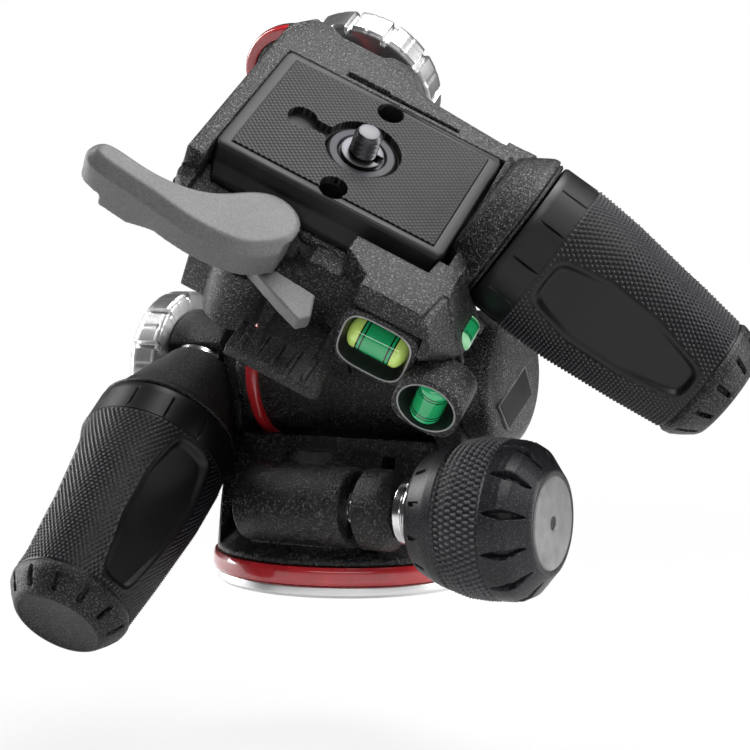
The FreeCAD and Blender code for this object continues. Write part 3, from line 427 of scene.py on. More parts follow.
CASTING = crinkle_black("powder_coated_casting")
PLATFORM_COAT = crinkle_black("platform_powder_coat", level=0.018, grain_mm=0.42, depth_mm=0.24, gloss=0.32)
SAND = sand_black("sand_grained_moulding")
RUBBER = grip_rubber("handle_rubber")
COVER = smooth_black("smooth_cover")
PLATE_BLACK = smooth_black("plate_anodised_black", level=0.012, gloss=0.42)
KNOB_BLACK = grip_rubber("knob_shell", level=0.009, speck=0.9)
# The knob's face is smooth black plastic; its grey is a painted sheen for the lamps it reflects.
KNOB_FACE_PAINTED_SHEEN = smooth_black("knob_face", level=0.2)
CAP_BLACK = crinkle_black("end_cap_coat", level=0.03, grain_mm=0.3, depth_mm=0.03, gloss=0.34)
CAP_PLATE = smooth_black("end_cap_plate", level=0.006, gloss=0.5)
CAP_RIM = smooth_black("end_cap_plate_rim", level=0.12)
# The bezel is glossy black; its pale grey is a painted highlight for the bright edge that catches the lamps.
BEZEL_PAINTED_HIGHLIGHT = smooth_black("level_bezel_painted_highlight", level=0.3, gloss=0.2)
print("materials", len(bpy.data.materials))

# %% [markdown]
# ## Woven pad and dyed vials
# The pad's top is a moulded weave: short ribs in staggered rows.  It is finer and lower than the
# knurl, so it is left to the shader, where the product of two sine waves along the plate's own axes
# gives it.  The vials hold dyed liquid between two pairs of black rings.  Real glass and liquid would
# need many bounces of light, so each vial is painted instead and then covered by a clear coat: the
# distance from its middle picks the dye, a ring or the pale end, and a faint glow stands for the
# light that it gathers.

# %% Pad weave and vial liquid
WEAVE_ACROSS = 4.6
WEAVE_AWAY = 5.6
DYE_GREEN = (0.012, 0.33, 0.11)
RING_BLACK = (0.002, 0.01, 0.004)
VIAL_GLOW = 0.18


def woven_pad(name):
    """Rubber with a moulded weave of short staggered ribs, painted paler on the rib tops as a painted highlight
    and darker in the hollows as painted shade.
    """
    paint = Paint(name, IOR=1.48)
    across, away, _ = paint.axes(PLATE)
    wave = (across * WEAVE_ACROSS).sine() * (away * WEAVE_AWAY).sine()
    fine = paint.noise(0.4)
    # The colour follows the weave: a painted highlight on the rib tops and painted shade between them.
    paint.set("Base Color", paint.ramp(wave * 0.5 + 0.5, (0.4, grey(0.003)), (0.8, grey(0.05, 0.001))))
    paint.set("Roughness", 0.42 + 0.2 * fine)
    paint.bump(wave + 0.3 * fine, 0.13)
    return paint.material


def vial_paint(name, place, half, pale):
    """Green liquid with two pairs of black rings, and paler ends."""
    paint = Paint(name, roughness=0.08, coat=1.0)
    _, _, along = paint.axes(place)
    liquid = (0.0, DYE_GREEN), (0.40, DYE_GREEN)
    inner_ring = (0.41, RING_BLACK), (0.45, RING_BLACK)
    between = (0.46, DYE_GREEN), (0.53, DYE_GREEN)
    outer_ring = (0.54, RING_BLACK), (0.58, RING_BLACK)
    end = (0.59, pale), (1.0, pale)
    colour = paint.ramp(abs(along) * (1 / half), *liquid, *inner_ring, *between, *outer_ring, *end)
    paint.set("Base Color", colour)
    paint.set("Emission Color", colour)
    paint.set("Emission Strength", VIAL_GLOW)
    return paint.material


PAD = woven_pad("plate_pad_weave")
print("weave rows mm apart", round(math.pi / WEAVE_ACROSS, 2), "and", round(math.pi / WEAVE_AWAY, 2))

# %% [markdown]
# ## Metal, red and grey
# The friction wheels and the base are turned aluminium: the tool leaves scratches that run round
# them.  The shader has an anisotropy for that, but it needs a tangent on every piece.  Noise that is
# squeezed along the axle's frame gives the same streaks and works anywhere.  The red rings are a
# clear lacquer over colour, which the coat gives.  The lever has a satin grey paint with a coarse,
# soft grain.

# %% Metals and colours
def turned_metal(name, place, level=0.72, gloss=0.24):
    """Lathe-turned metal whose scratches run round the axis of its frame."""
    paint = Paint(name, metallic=1.0)
    rings = paint.spot(place.translation, place.to_euler(), (1, 1, 0.04))
    scratch = paint.noise(10.5, detail=5.0, roughness=0.7, vector=rings)
    paint.set("Base Color", paint.ramp(scratch, (0.3, grey(level * 0.82)), (0.7, grey(level, 0.01))))
    paint.set("Roughness", gloss + 0.14 * scratch + 0.06 * paint.noise(5.0))
    paint.bump(scratch, 0.012)
    return paint.material


def red_lacquer(name):
    """Clear lacquer over deep red."""
    paint = Paint(name, coat=1.0, Coat_Roughness=0.06)
    cloud = paint.noise(6.0, detail=3.0)
    paint.set("Base Color", paint.ramp(cloud, (0.25, (0.36, 0.01, 0.015)), (0.75, (0.52, 0.02, 0.028))))
    paint.set("Roughness", 0.22 + 0.14 * cloud)
    return paint.material


def lever_paint(name):
    """Satin grey paint with a soft grain."""
    paint = Paint(name, IOR=1.5)
    grain = paint.noise(0.45, detail=3.0, roughness=0.6)
    paint.set("Base Color", paint.ramp(grain, (0.35, grey(0.1)), (0.7, grey(0.15, 0.003))))
    paint.set("Roughness", 0.5 + 0.12 * paint.noise(12.0))
    paint.bump(grain, 0.02)
    return paint.material


RED = red_lacquer("red_lacquer")
LEVER_GREY = lever_paint("lever_satin_grey")
BASE_METAL = turned_metal("base_turned_aluminium", BASE, level=0.78)
TILT_WHEEL_METAL = turned_metal("tilt_wheel_aluminium", TILT_AXLE, level=0.6, gloss=0.26)
ROLL_WHEEL_METAL = turned_metal("roll_wheel_aluminium", ROLL_AXLE, level=0.6, gloss=0.26)
KNOB_STEEL = turned_metal("knob_bright_steel", PAN_KNOB, level=0.85, gloss=0.1)
TILT_STEEL = turned_metal("tilt_rod_steel", TILT_HANDLE, level=0.7, gloss=0.14)
ROLL_STEEL = turned_metal("roll_rod_steel", ROLL_HANDLE, level=0.7, gloss=0.14)
PLATE_STEEL = turned_metal("plate_screw_steel", PLATE, level=0.09, gloss=0.3)
WASHER_STEEL = turned_metal("plate_washer_steel", PLATE, level=0.07, gloss=0.5)
print("materials", len(bpy.data.materials))

# %% [markdown]
# ## Every node gets a finish
# Before any modelling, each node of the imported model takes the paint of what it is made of.  It
# could wait until the end, but then a node that no piece stands for would be easy to forget.  The
# pieces that follow replace some of the nodes, and the rest are already dressed.

# %% Paint the nodes
node_paint = {
    CASTING: ["pan_body", "tilt_housing", "tilt_handle_hub"],
    PLATFORM_COAT: ["platform_frame", "level_housing"],
    SAND: ["tilt_handle_neck", "roll_handle_neck", "tilt_grip_cap", "roll_grip_cap", "pan_knob_disc",
           "thumb_tab", "tilt_grip_sleeve", "roll_grip_sleeve"],
    RUBBER: ["tilt_grip", "roll_grip", "pan_knob_grip", "pan_knob_core"],
    PAD: ["plate_pad"],
    COVER: ["tilt_end_cap", "rear_cap", "pan_washer", "pan_brake_pad"],
    RED: ["pan_trim_ring", "tilt_trim_ring", "rear_trim_ring"],
    LEVER_GREY: ["qr_lever", "safety_catch"],
    BASE_METAL: ["base_plate", "pan_spindle", "spindle_nut", "tilt_bushes"],
    TILT_WHEEL_METAL: ["tilt_friction_wheel", "tilt_axle"],
    ROLL_WHEEL_METAL: ["roll_friction_wheel", "roll_axle", "lever_pivot"],
    KNOB_STEEL: ["pan_knob_collar", "pan_knob_screw"],
    TILT_STEEL: ["tilt_handle_ring", "tilt_handle_rod"],
    ROLL_STEEL: ["roll_handle_ring", "roll_handle_rod"],
    PLATE_STEEL: ["screw_washer", "screw_clip", "camera_screw"],
    PLATE_BLACK: ["camera_plate", "pitch_vial", "side_vial", "plumb_vial"],
}
for paint, names in node_paint.items():
    for name in names:
        nodes[name].data.materials.clear()
        nodes[name].data.materials.append(paint)
unpainted = sorted(set(nodes) - {name for names in node_paint.values() for name in names})
print("unpainted nodes", unpainted)

# %% [markdown]
# ## Shapes that are turned and then pressed
# Grips, knobs and wheels all start on a lathe and get their pattern afterwards, by a knurling tool,
# a mill or a mould.  Hundreds of bumps could be modelled one by one, or cut with booleans, but both
# are slow and leave seams.  Here each piece is a spun profile whose skin then moves in or out by a
# height that depends on the angle and the place along the axis.

# %% Pressing a pattern into a turned skin
def read_off(points, at):
    """The value at a place in a list of (place, value) points joined by straight lines."""
    if at <= points[0][0]:
        return points[0][1]
    for (before, low), (after, high) in zip(points, points[1:]):
        if at <= after:
            return low + (high - low) * (at - before) / (after - before)
    return points[-1][1]


def soft_step(share):
    """0 below nought, 1 above one and a smooth climb between."""
    share = min(max(share, 0.0), 1.0)
    return share * share * (3 - 2 * share)


def turn_from(angle, start, count):
    """Angle to the nearest of some evenly spaced marks, in radians."""
    step = math.tau / count
    return abs((angle - start + step / 2) % step - step / 2)


def even_steps(low, high, pitch):
    """Evenly spaced places from low to high, about a pitch apart."""
    count = max(1, round((high - low) / pitch))
    return [low + (high - low) * step / count for step in range(count + 1)]


def press(mesh, height, raised=None):
    """Move each vertex in or out by height(angle, place along Z, radius), all in millimetres.

    raised(angle, place, radius) tells the paint how proud a vertex is, from 0 to 1.
    """
    proud = mesh.verts.layers.float.new("raised") if raised else None
    for vertex in mesh.verts:
        radius = math.hypot(vertex.co.x, vertex.co.y) / MM
        if radius > 0.01:
            spot = (math.atan2(vertex.co.y, vertex.co.x), vertex.co.z / MM, radius)
            if raised:
                vertex[proud] = raised(*spot)
            vertex.co.xy *= (radius + height(*spot)) / radius


def turned_size(place, node):
    """Inner radius, outer radius, low end and high end of a turned node, in millimetres."""
    back = place.inverted()
    points = [back @ vertex.co for vertex in nodes[node].data.vertices]
    radii = [point.xy.length / MM for point in points]
    heights = [point.z / MM for point in points]
    return min(radii), max(radii), min(heights), max(heights)


print("tilt grip mm", [round(size, 1) for size in turned_size(TILT_HANDLE, "tilt_grip")])

# %% [markdown]
# ## The side handle's shroud
# The platform ends in a flared collar, and the neck of the side handle turns inside it.  It has no
# pattern, so a lathe profile with broken corners is all it needs.  Beside the corners of its
# casting, which a bevel rounds by less than half a millimetre, its soft lip wants a ring of its own.

# %% Shroud
def handle_shroud():
    """The flared collar of the platform that the side handle's neck turns in."""
    bore, wide, low, high = turned_size(ROLL_HANDLE, "roll_handle_neck")
    outside = [(bore + 3.6, low - 1.2), (11.8, low - 2.6), (13.5, low - 1.6), (wide - 0.2, high - 2.6)]
    lip = [(wide, high - 1.2), (wide - 0.9, high - 1.0), (wide - 3.4, high - 3.2), (bore + 3.8, low + 0.6)]
    return turned_piece("side_handle_shroud", outside + lip, ROLL_HANDLE, "platform", PLATFORM_COAT, (),
                        edge=0.8)


print(handle_shroud().name, "faces", len(bpy.data.meshes["side_handle_shroud"].polygons))

# %% [markdown]
# ## Rubber grips
# A grip is a rubber sleeve moulded over a core.  Its knurl is a lattice of small round bumps in
# staggered rows.  The product of two cosines gives exactly such a lattice, because it is positive on
# every second square of a chessboard.  Three long thumb recesses, a third of a turn apart, are flat
# panels with round corners, sunk a little below the knurl inside a small rim.  How far a point lies
# inside a recess is worked out as the soft least of its distances to the sides and ends, so that one
# number shapes panel, rim and knurl.

# %% Knurled sleeves with thumb recesses
KNURL_BUMPS = 88
KNURL_ROW = 0.85
KNURL_HEIGHT = 0.5
GRIP_TAPER = 3.9
SLEEVE_WALL = 3
RECESSES = 3
RECESS_FLAT = math.radians(24)
RECESS_SUNK = 0.5
RECESS_RIM = 0.15
RECESS_EDGE = ((1.6, 17.0), (13.0, 26.0), (25.0, 26.0), (38.8, 16.0))


def bump(angle, place, count, row):
    """Round bumps in staggered rows: 0 in the valleys and 1 on top."""
    return max(0.0, math.cos(count * angle) * math.cos(math.pi * place / row))


def recess_inside(angle, place, first, radius):
    """How far a point lies inside the nearest thumb recess; below nought outside it."""
    side = (math.radians(read_off(RECESS_EDGE, place)) - turn_from(angle, first, RECESSES)) * radius
    edges = (side, place - RECESS_EDGE[0][0], RECESS_EDGE[-1][0] - place)
    return min(edges) - math.log(sum(math.exp(min(edges) - edge) for edge in edges))


def grip_sleeve(side, place, first_recess):
    """The knurled rubber sleeve of a handle, with a recess at an angle in degrees."""
    first = math.radians(first_recess)
    _, widest, _, length = turned_size(place, side + "_grip")
    end = widest - GRIP_TAPER
    shape = ((0.0, widest), (0.3 * length, widest - 0.4), (0.72 * length, end + 1.6), (length, end))
    outside = [(read_off(shape, at), at) for at in even_steps(0.0, length, KNURL_ROW / 2)]
    bore = end - SLEEVE_WALL
    mesh = turned_mesh([(bore, 0.0)] + outside + [(bore, length)], KNURL_BUMPS * 4, closed=True)

    def knurl(angle, at, radius):
        outside_recess = soft_step((-recess_inside(angle, at, first, radius) - 0.5) / 0.4)
        ends = soft_step(at / 0.8) * soft_step((length - at) / 0.8)
        return outside_recess * ends * bump(angle, at, KNURL_BUMPS, KNURL_ROW)

    def height(angle, at, radius):
        if radius < read_off(shape, at) - 0.1:
            return 0
        inside = recess_inside(angle, at, first, radius)
        flat = radius - radius * math.cos(RECESS_FLAT) / math.cos(turn_from(angle, first, RECESSES))
        panel = (flat + RECESS_SUNK) * soft_step(inside / 1.1) if inside > 0 else 0
        rim = RECESS_RIM * max(0.0, 1 - abs(inside + 0.3) / 0.5)
        return KNURL_HEIGHT * (knurl(angle, at, radius) - 1) + rim - panel

    press(mesh, height, knurl)
    return piece(side + "_knurled_sleeve", mesh, place, side + "_grip", RUBBER, [side + "_grip"],
                 smooth_angle=60)


for sleeve in (grip_sleeve("tilt", TILT_HANDLE, 20), grip_sleeve("roll", ROLL_HANDLE, 32)):
    print(sleeve.name, "faces", len(sleeve.data.polygons))

# %% [markdown]
# ## Bands, caps and necks of the handles
# Behind the knurl runs a smooth band with short grooves, and a sand-grained crown with notches
# closes the grip.  Both are moulded, so both are pressed from a spun profile like the sleeve, with
# rows close enough for the notches' soft ends.  The neck has no pattern: it is one flare, turned
# like the shroud.

# %% Bands and crown caps
MARKS_ROUND = 12
BAND_SLIM = 0.35
BAND_STEPS = 6
GROOVE_DEPTH = 0.5
GROOVE_HALF_WIDE = 0.3
GROOVE_STOP = -0.9
CAP_TAPER = 4.0
NOTCH_DEPTH = 1.5
NOTCH_HALF_WIDE = 0.62
NOTCH_HALF_LONG = 2.0
NOTCH_MIDDLE = 3.9


def grip_band(side, place, first_groove):
    """The smooth band behind the knurl, with twelve short grooves."""
    bore, outer, low, _ = turned_size(place, side + "_grip_sleeve")
    radius = outer - BAND_SLIM
    first = math.radians(first_groove)
    groove_start = low + 2.9
    profile = [(bore, low), (radius - 0.9, low), (radius - 0.5, low + 0.15), (radius - 0.25, low + 0.7)]
    profile += [(radius - 0.25 + 0.25 * step / BAND_STEPS, low + 0.7 + (-0.7 - low) * step / BAND_STEPS)
                for step in range(1, BAND_STEPS + 1)]
    profile += [(radius - 0.2, 0.1), (bore + 5, 0.1), (bore, -1.0)]
    mesh = turned_mesh(profile, 360, closed=True)

    def height(angle, at, skin):
        if skin < bore + 6 or not groove_start < at < GROOVE_STOP:
            return 0
        return -GROOVE_DEPTH if turn_from(angle, first, MARKS_ROUND) * skin < GROOVE_HALF_WIDE else 0

    press(mesh, height)
    return piece(side + "_grip_band", mesh, place, side + "_grip", RUBBER, [side + "_grip_sleeve"])


def grip_cap(side, place, first_notch):
    """The sand-grained end cap: a crown of twelve notches round a flat face."""
    _, radius, low, high = turned_size(place, side + "_grip_cap")
    face = radius - CAP_TAPER
    first = math.radians(first_notch)
    slope = [(low, radius - 0.4), (low + 0.8, radius), (low + 2.4, radius - 0.35), (low + 4.4, radius - 1.6),
             (high - 0.7, face + 0.7), (high - 0.2, face)]
    crown = [(read_off(slope, at), at) for at in even_steps(low, high - 0.2, 0.35)]
    front = [(face - 0.5, high - 0.1), (face - 1.0, high - 0.45), (0, high - 0.45)]
    mesh = turned_mesh([(0, low), (radius - 2, low)] + crown + front, 288)
    middle = low + NOTCH_MIDDLE

    def height(angle, at, skin):
        along = 1 - abs(at - middle) / NOTCH_HALF_LONG
        across = 1 - turn_from(angle, first, MARKS_ROUND) * skin / NOTCH_HALF_WIDE
        if along <= 0 or across <= 0:
            return 0
        return -NOTCH_DEPTH * soft_step(along * 3) * soft_step(across * 2.2)

    press(mesh, height)
    return piece(side + "_crown_cap", mesh, place, side + "_grip", SAND, [side + "_grip_cap"],
                 smooth_angle=40)


# %% Necks
def handle_neck(side, place):
    """The sand-grained flare between a handle's bright ring and its grip."""
    bore, wide, low, high = turned_size(place, side + "_handle_neck")
    slim = turned_size(place, side + "_handle_ring")[1]
    flare = [(bore, low + 0.1), (slim + 0.3, low + 0.1), (slim + 1.0, low + 0.9), (wide - 1.9, high - 2.4),
             (wide - 0.4, high - 0.5), (wide - 0.8, high), (bore, high)]
    return turned_piece(side + "_neck_flare", flare, place, side + "_handle", SAND, [side + "_handle_neck"],
                        edge=0.9)


grip_band("tilt", TILT_HANDLE, 25)
grip_band("roll", ROLL_HANDLE, 2)
grip_cap("tilt", TILT_HANDLE, 10)
grip_cap("roll", ROLL_HANDLE, 17)
handle_neck("tilt", TILT_HANDLE)
handle_neck("roll", ROLL_HANDLE)
print("pieces so far", len(finished))

# %% [markdown]
# ## The pan knob
# The knob carries larger bumps in staggered rows, short slots in the smooth band next to the clamp
# and twelve deep lens-shaped slots at its front shoulder.  A real one is moulded in two halves, and
# the thin parting line still crosses the slots.  It is one skin for all three nodes of the knob, so
# no gap opens where they met, and the pattern is pressed in as on the grips.

# %% Knob shell
KNOB_BUMPS = 76
KNOB_ROW = 1.43
KNOB_ROWS = 8
FIRST_ROW = 8.3
KNOB_BUMP_HEIGHT = 0.8
KNOB_TAPER = 4.1
BAND_SUNK = 0.65
LENS_MIDDLE = 24.2
LENS_HALF_LONG = 4.0
LENS_HALF_WIDE = 1.25
LENS_DEPTH = 2.2
LENS_TURN = math.radians(18)
SLOT_ENDS = (2.0, 4.6)
SLOT_HALF_WIDE = 0.45
SLOT_DEPTH = 0.7
SLOT_TURN = math.radians(14)
PARTING_LINE = 22.7
PARTING_DEPTH = 0.12
FACE_RADIUS = 11.0
KNOB_LENGTH = turned_size(PAN_KNOB, "pan_knob_disc")[3]


def pan_knob():
    """The knob's shell: clamp side, knurled band, slotted shoulder and the rim of its face."""
    length = KNOB_LENGTH
    face = FACE_RADIUS
    widest = turned_size(PAN_KNOB, "pan_knob_grip")[1]
    small = widest - KNOB_TAPER
    shape = ((0.4, small - 0.9), (1.2, small), (0.2 * length, widest - 1.9), (0.42 * length, widest - 0.2),
             (0.56 * length, widest), (0.78 * length, widest - 0.35), (0.86 * length, widest - 1.5),
             (length - 0.9, face + 0.9))
    outside = [(read_off(shape, at), at) for at in even_steps(0.4, length - 0.9, KNOB_ROW / 4)]
    front = [(face + 0.3, length - 0.35), (face - 0.3, length - 0.2), (face - 1.0, length - 0.45)]
    mesh = turned_mesh([(0, 0.4)] + outside + front + [(0, length - 0.45)], KNOB_BUMPS * 6)
    last_row = FIRST_ROW + KNOB_ROWS * KNOB_ROW

    def banded(at):
        return soft_step((at - FIRST_ROW) / 0.7) * soft_step((last_row - at) / 0.7)

    def knurl(angle, at, radius):
        return banded(at) * bump(angle, at - FIRST_ROW, KNOB_BUMPS, KNOB_ROW)

    def height(angle, at, radius):
        if at < 0.5 or at > length - 1 or radius < small - 1:
            return 0
        change = KNOB_BUMP_HEIGHT * knurl(angle, at, radius) - BAND_SUNK * banded(at)
        lens = 1 - abs(at - LENS_MIDDLE) / LENS_HALF_LONG
        if lens > 0:
            wide = LENS_HALF_WIDE * math.sqrt(lens) - turn_from(angle, LENS_TURN, MARKS_ROUND) * radius
            change -= LENS_DEPTH * soft_step(wide / 0.5)
        beside_slot = turn_from(angle, SLOT_TURN, MARKS_ROUND) * radius
        if SLOT_ENDS[0] < at < SLOT_ENDS[1] and beside_slot < SLOT_HALF_WIDE:
            change -= SLOT_DEPTH
        if abs(at - PARTING_LINE) < 0.2:
            change -= PARTING_DEPTH
        return change

    press(mesh, height, knurl)
    return piece("pan_knob_shell", mesh, PAN_KNOB, "pan_knob", KNOB_BLACK,
                 ["pan_knob_grip", "pan_knob_core", "pan_knob_disc"], smooth_angle=50)


print("knob faces", len(pan_knob().data.polygons))

# %% [markdown]
# ## Face, collar and clamp screw
# A smooth disc with a small dark hole closes the knob, and a bright collar in two steps stands
# between it and the clamp.  Behind them the screw shows its thread.  A thread could be a helix swept
# along a curve.  Pressed into a plain rod, it is one wave of the height, which climbs by a pitch in
# each turn and fades out at its ends.

# %% Knob face, collar and thread
ROD_STEPS = 48


def pan_knob_face():
    """The smooth face disc with its small dark hole; its grey paint is a painted sheen."""
    top = KNOB_LENGTH
    profile = [(0, top - 1.6), (1.5, top - 1.6), (1.5, top - 0.3), (1.9, top - 0.1), (9.7, top - 0.1),
               (10.0, top - 0.45), (10.0, top - 1.0), (10.0, top - 1.7), (0, top - 1.7)]
    return turned_piece("pan_knob_face", profile, PAN_KNOB, "pan_knob", KNOB_FACE_PAINTED_SHEEN, (),
                        edge=0.1, hollow=False)


def knob_collar():
    """The bright collar, turned in two steps."""
    bore, radius, low, high = turned_size(PAN_KNOB, "pan_knob_collar")
    middle = (low + high) / 2
    profile = [(bore, low), (radius - 1.1, low), (radius - 0.5, low + 0.5), (radius - 0.5, middle - 0.3),
               (radius - 1.0, middle), (radius - 0.2, middle + 0.3), (radius, middle + 0.8),
               (radius, high - 0.5), (radius - 0.5, high), (bore, high)]
    return turned_piece("pan_knob_bright_collar", profile, PAN_KNOB, "pan_knob", KNOB_STEEL,
                        ["pan_knob_collar"], edge=0.3)


def thread(radius, pitch, depth, start=-math.inf, stop=math.inf):
    """The height of a screw thread on a rod, between two places where it fades out."""
    def height(angle, at, skin):
        if skin < radius - 0.1 or not start < at < stop:
            return 0
        wave = abs(((at / pitch - angle / math.tau) % 1) - 0.5) * 2
        fade = soft_step((at - start) / pitch) * soft_step((stop - at) / (pitch * 0.5))
        return -depth * fade * wave

    return height


def clamp_screw(pitch=1.25, depth=0.6, stop=-8.0):
    """The knob's screw, threaded from its tip almost to the collar."""
    _, radius, low, high = turned_size(PAN_KNOB, "pan_knob_screw")
    start = low + 1
    rows = [(radius, at) for at in even_steps(start, stop, pitch / 8)]
    profile = [(0, low), (radius - 0.5, low), (radius, low + 0.5)] + rows
    profile += [(radius, high - 0.5), (radius - 0.5, high), (0, high)]
    mesh = turned_mesh(profile, ROD_STEPS)
    press(mesh, thread(radius, pitch, depth, start, stop))
    return piece("clamp_screw", mesh, PAN_KNOB, "pan_knob", KNOB_STEEL, ["pan_knob_screw"])


pan_knob_face()
knob_collar()
clamp_screw()
print("pieces so far", len(finished))

# %% [markdown]
# ## Friction wheels, trim rings and the base
# The wheels are aluminium with broad ridges, cut apart by grooves on a mill, and a shallow dish
# round the axle.  An array of ridges would need joining to the wheel, so the grooves are pressed
# into a turned rim, with a fine line in the middle of each ridge.  The rings are lacquered and
# slightly crowned, so that they carry one long highlight: a flat rim would flash all at once.

# %% Wheels, rings and base
FIRST_GAP = 0.1
GAP_DEPTH = 1.2
GAP_HALF_WIDE = 0.95
GAP_SLOPE = 0.45
LINE_DEPTH = 0.1
LINE_HALF_WIDE = 0.3
CROWN = 0.35
CROWN_STEPS = 8


def friction_wheel(name, node, place, body, paint, outwards):
    """A turned wheel with twelve broad ridges and a dished face on its outward side, +1 or -1."""
    bore, radius, low, high = turned_size(place, node)
    near, far = (low, high) if outwards > 0 else (high, low)

    def sunk(depth):
        return far - outwards * depth

    profile = [(bore, near), (radius - 1.2, near), (radius - 0.5, near + outwards * 0.3),
               (radius, near + outwards * 1.0)]
    profile += [(radius, near + outwards * share) for share in even_steps(1.4, abs(high - low) - 2.0, 0.8)]
    profile += [(radius - 0.3, sunk(1.2)), (radius - 1.2, sunk(0.3)), (radius - 2.0, sunk(0)),
                (radius - 4.5, sunk(0)), (radius - 5.2, sunk(0.8)), (bore + 4.4, sunk(1.2)),
                (bore + 3.6, sunk(0.3)), (bore + 1.2, sunk(0.3)), (bore, sunk(0.9))]
    mesh = turned_mesh(profile, 288, closed=True)

    def height(angle, at, skin):
        if skin < radius - 2.6:
            return 0
        beside_gap = turn_from(angle, FIRST_GAP, MARKS_ROUND) * skin
        beside_line = turn_from(angle, FIRST_GAP + math.pi / MARKS_ROUND, MARKS_ROUND) * skin
        line = LINE_DEPTH if beside_line < LINE_HALF_WIDE else 0
        return -GAP_DEPTH * soft_step((GAP_HALF_WIDE - beside_gap) / GAP_SLOPE) - line

    press(mesh, height)
    return piece(name, mesh, place, body, paint, [node])


def crowned_ring(name, node, place, body):
    """A lacquered ring whose outside is slightly crowned."""
    bore, radius, low, high = turned_size(place, node)
    bend = [(radius - CROWN * (2 * step / CROWN_STEPS - 1) ** 4 - 0.02,
             low + (high - low) * step / CROWN_STEPS) for step in range(CROWN_STEPS + 1)]
    mesh = turned_mesh([(bore, low)] + bend + [(bore, high), (bore, low)], 192)
    return piece(name, mesh, place, body, RED, [node], smooth_angle=60)


def base_disc():
    """The turned foot of the head, with a shallow ring sunk into its underside."""
    bore, radius, low, high = turned_size(BASE, "base_plate")
    profile = [(bore, low), (bore + 8, low), (bore + 8.6, low + 0.35), (radius - 9, low + 0.35),
               (radius - 8.4, low), (radius - 0.8, low), (radius, low + 0.7), (radius, high - 0.3),
               (radius - 0.3, high), (bore, high)]
    return turned_piece("base_disc", profile, BASE, "root", BASE_METAL, ["base_plate"],
                        edge=0.12, steps=192)


friction_wheel("tilt_ridged_wheel", "tilt_friction_wheel", TILT_AXLE, "tilt_wheel", TILT_WHEEL_METAL, -1)
friction_wheel("roll_ridged_wheel", "roll_friction_wheel", ROLL_AXLE, "roll_wheel", ROLL_WHEEL_METAL, 1)
crowned_ring("pan_gloss_ring", "pan_trim_ring", BASE, "pan")
crowned_ring("tilt_gloss_ring", "tilt_trim_ring", TILT_AXLE, "tilt")
base_disc()
print("pieces so far", len(finished))

# %% [markdown]
# ## Castings with soft edges
# A die casting has no sharp edge: the metal needs a draft and a radius to leave its mould, and the
# coat rounds it further.  A Bevel modifier on the plain node would catch on its loose triangles.  So
# each casting is a copy of its node whose flat faces are joined again, and whose sharp edges then
# get a small rounded bevel.  Where edges crowd together, a bevel can throw a corner far out, and
# such a corner goes back to the nearest point of the plain surface.

# %% Soften the castings
SHARP_EDGE = math.radians(30)
FLAT_WITHIN = math.radians(1.0)
WELD_WITHIN = 0.01 * MM
STRAY_SHARE = 0.6


def softened(name, node, body, paint, width, segments, slot):
    """A copy of a plain node with its faces cleaned and its edges rounded."""
    mesh = bmesh.new()
    mesh.from_mesh(nodes[node].data)
    surface = BVHTree.FromBMesh(mesh)
    bmesh.ops.remove_doubles(mesh, verts=mesh.verts, dist=WELD_WITHIN)
    bmesh.ops.dissolve_limit(mesh, angle_limit=FLAT_WITHIN, verts=mesh.verts, edges=mesh.edges)
    edges = [edge for edge in mesh.edges if len(edge.link_faces) == 2 and edge.calc_face_angle() > SHARP_EDGE]
    bmesh.ops.bevel(mesh, geom=edges, offset=width * MM, offset_type="OFFSET", segments=segments, profile=0.5,
                    affect="EDGES", material=-1, clamp_overlap=False, harden_normals=False)
    for vertex in mesh.verts:
        nearest, _, _, distance = surface.find_nearest(vertex.co)
        if distance > STRAY_SHARE * width * MM:
            vertex.co = nearest
    bmesh.ops.triangulate(mesh, faces=[face for face in mesh.faces if len(face.verts) > 4])
    return piece(name, mesh, BASE, body, paint, [node], smooth_angle=40)


castings = (
    ("fork_casting", "pan_body", "pan", CASTING, 0.6, 3, "black_body"),
    ("tilt_casting", "tilt_housing", "tilt", CASTING, 0.5, 2, "black_body"),
    ("platform_casting", "platform_frame", "platform", PLATFORM_COAT, 0.4, 2, "black_body"),
    ("handle_hub_casting", "tilt_handle_hub", "tilt", CASTING, 0.5, 2, "black_body"),
    ("rear_cover", "rear_cap", "tilt", COVER, 0.3, 2, "black_trim"),
    ("rear_gloss_ring", "rear_trim_ring", "tilt", RED, 0.15, 2, "red_trim"),
    ("thumb_tab_ribbed", "thumb_tab", "platform", SAND, 0.22, 2, "black_trim"),
    ("plate_casting", "camera_plate", "platform", PLATE_BLACK, 0.4, 2, "black_trim"),
)
for casting in castings:
    softened(*casting)
print("castings", len(castings))

# %% [markdown]
# ## Smooth-skinned parts
# The lever and the catch are shaped for a thumb: everything on them is rounded.  Bevels of that size
# would run into each other.  A voxel remesh turns the plain solid into an even skin instead, and a
# few rounds of smoothing melt its edges together.

# %% Melt the lever's edges
SKIN_VOXEL = 0.33 * MM
MELT_ROUNDS = 5


def melted(name, node, body):
    """A copy of a plain node with an even skin and softly rounded edges."""
    source = bpy.data.objects.new(name + "_source", nodes[node].data.copy())
    bpy.context.scene.collection.objects.link(source)
    skin = source.modifiers.new("skin", "REMESH")
    skin.mode = "VOXEL"
    skin.voxel_size = SKIN_VOXEL
    bpy.context.view_layer.update()
    data = bpy.data.meshes.new_from_object(source.evaluated_get(bpy.context.evaluated_depsgraph_get()))
    mesh = bmesh.new()
    mesh.from_mesh(data)
    bpy.data.objects.remove(source)
    for _ in range(MELT_ROUNDS):
        bmesh.ops.smooth_vert(mesh, verts=mesh.verts, factor=0.5, use_axis_x=True, use_axis_y=True,
                              use_axis_z=True)
    return piece(name, mesh, BASE, body, LEVER_GREY, [node], smooth_angle=180)


for made in (melted("lever_casting", "qr_lever", "lever"), melted("catch_casting", "safety_catch", "catch")):
    print(made.name, "faces", len(made.data.polygons))
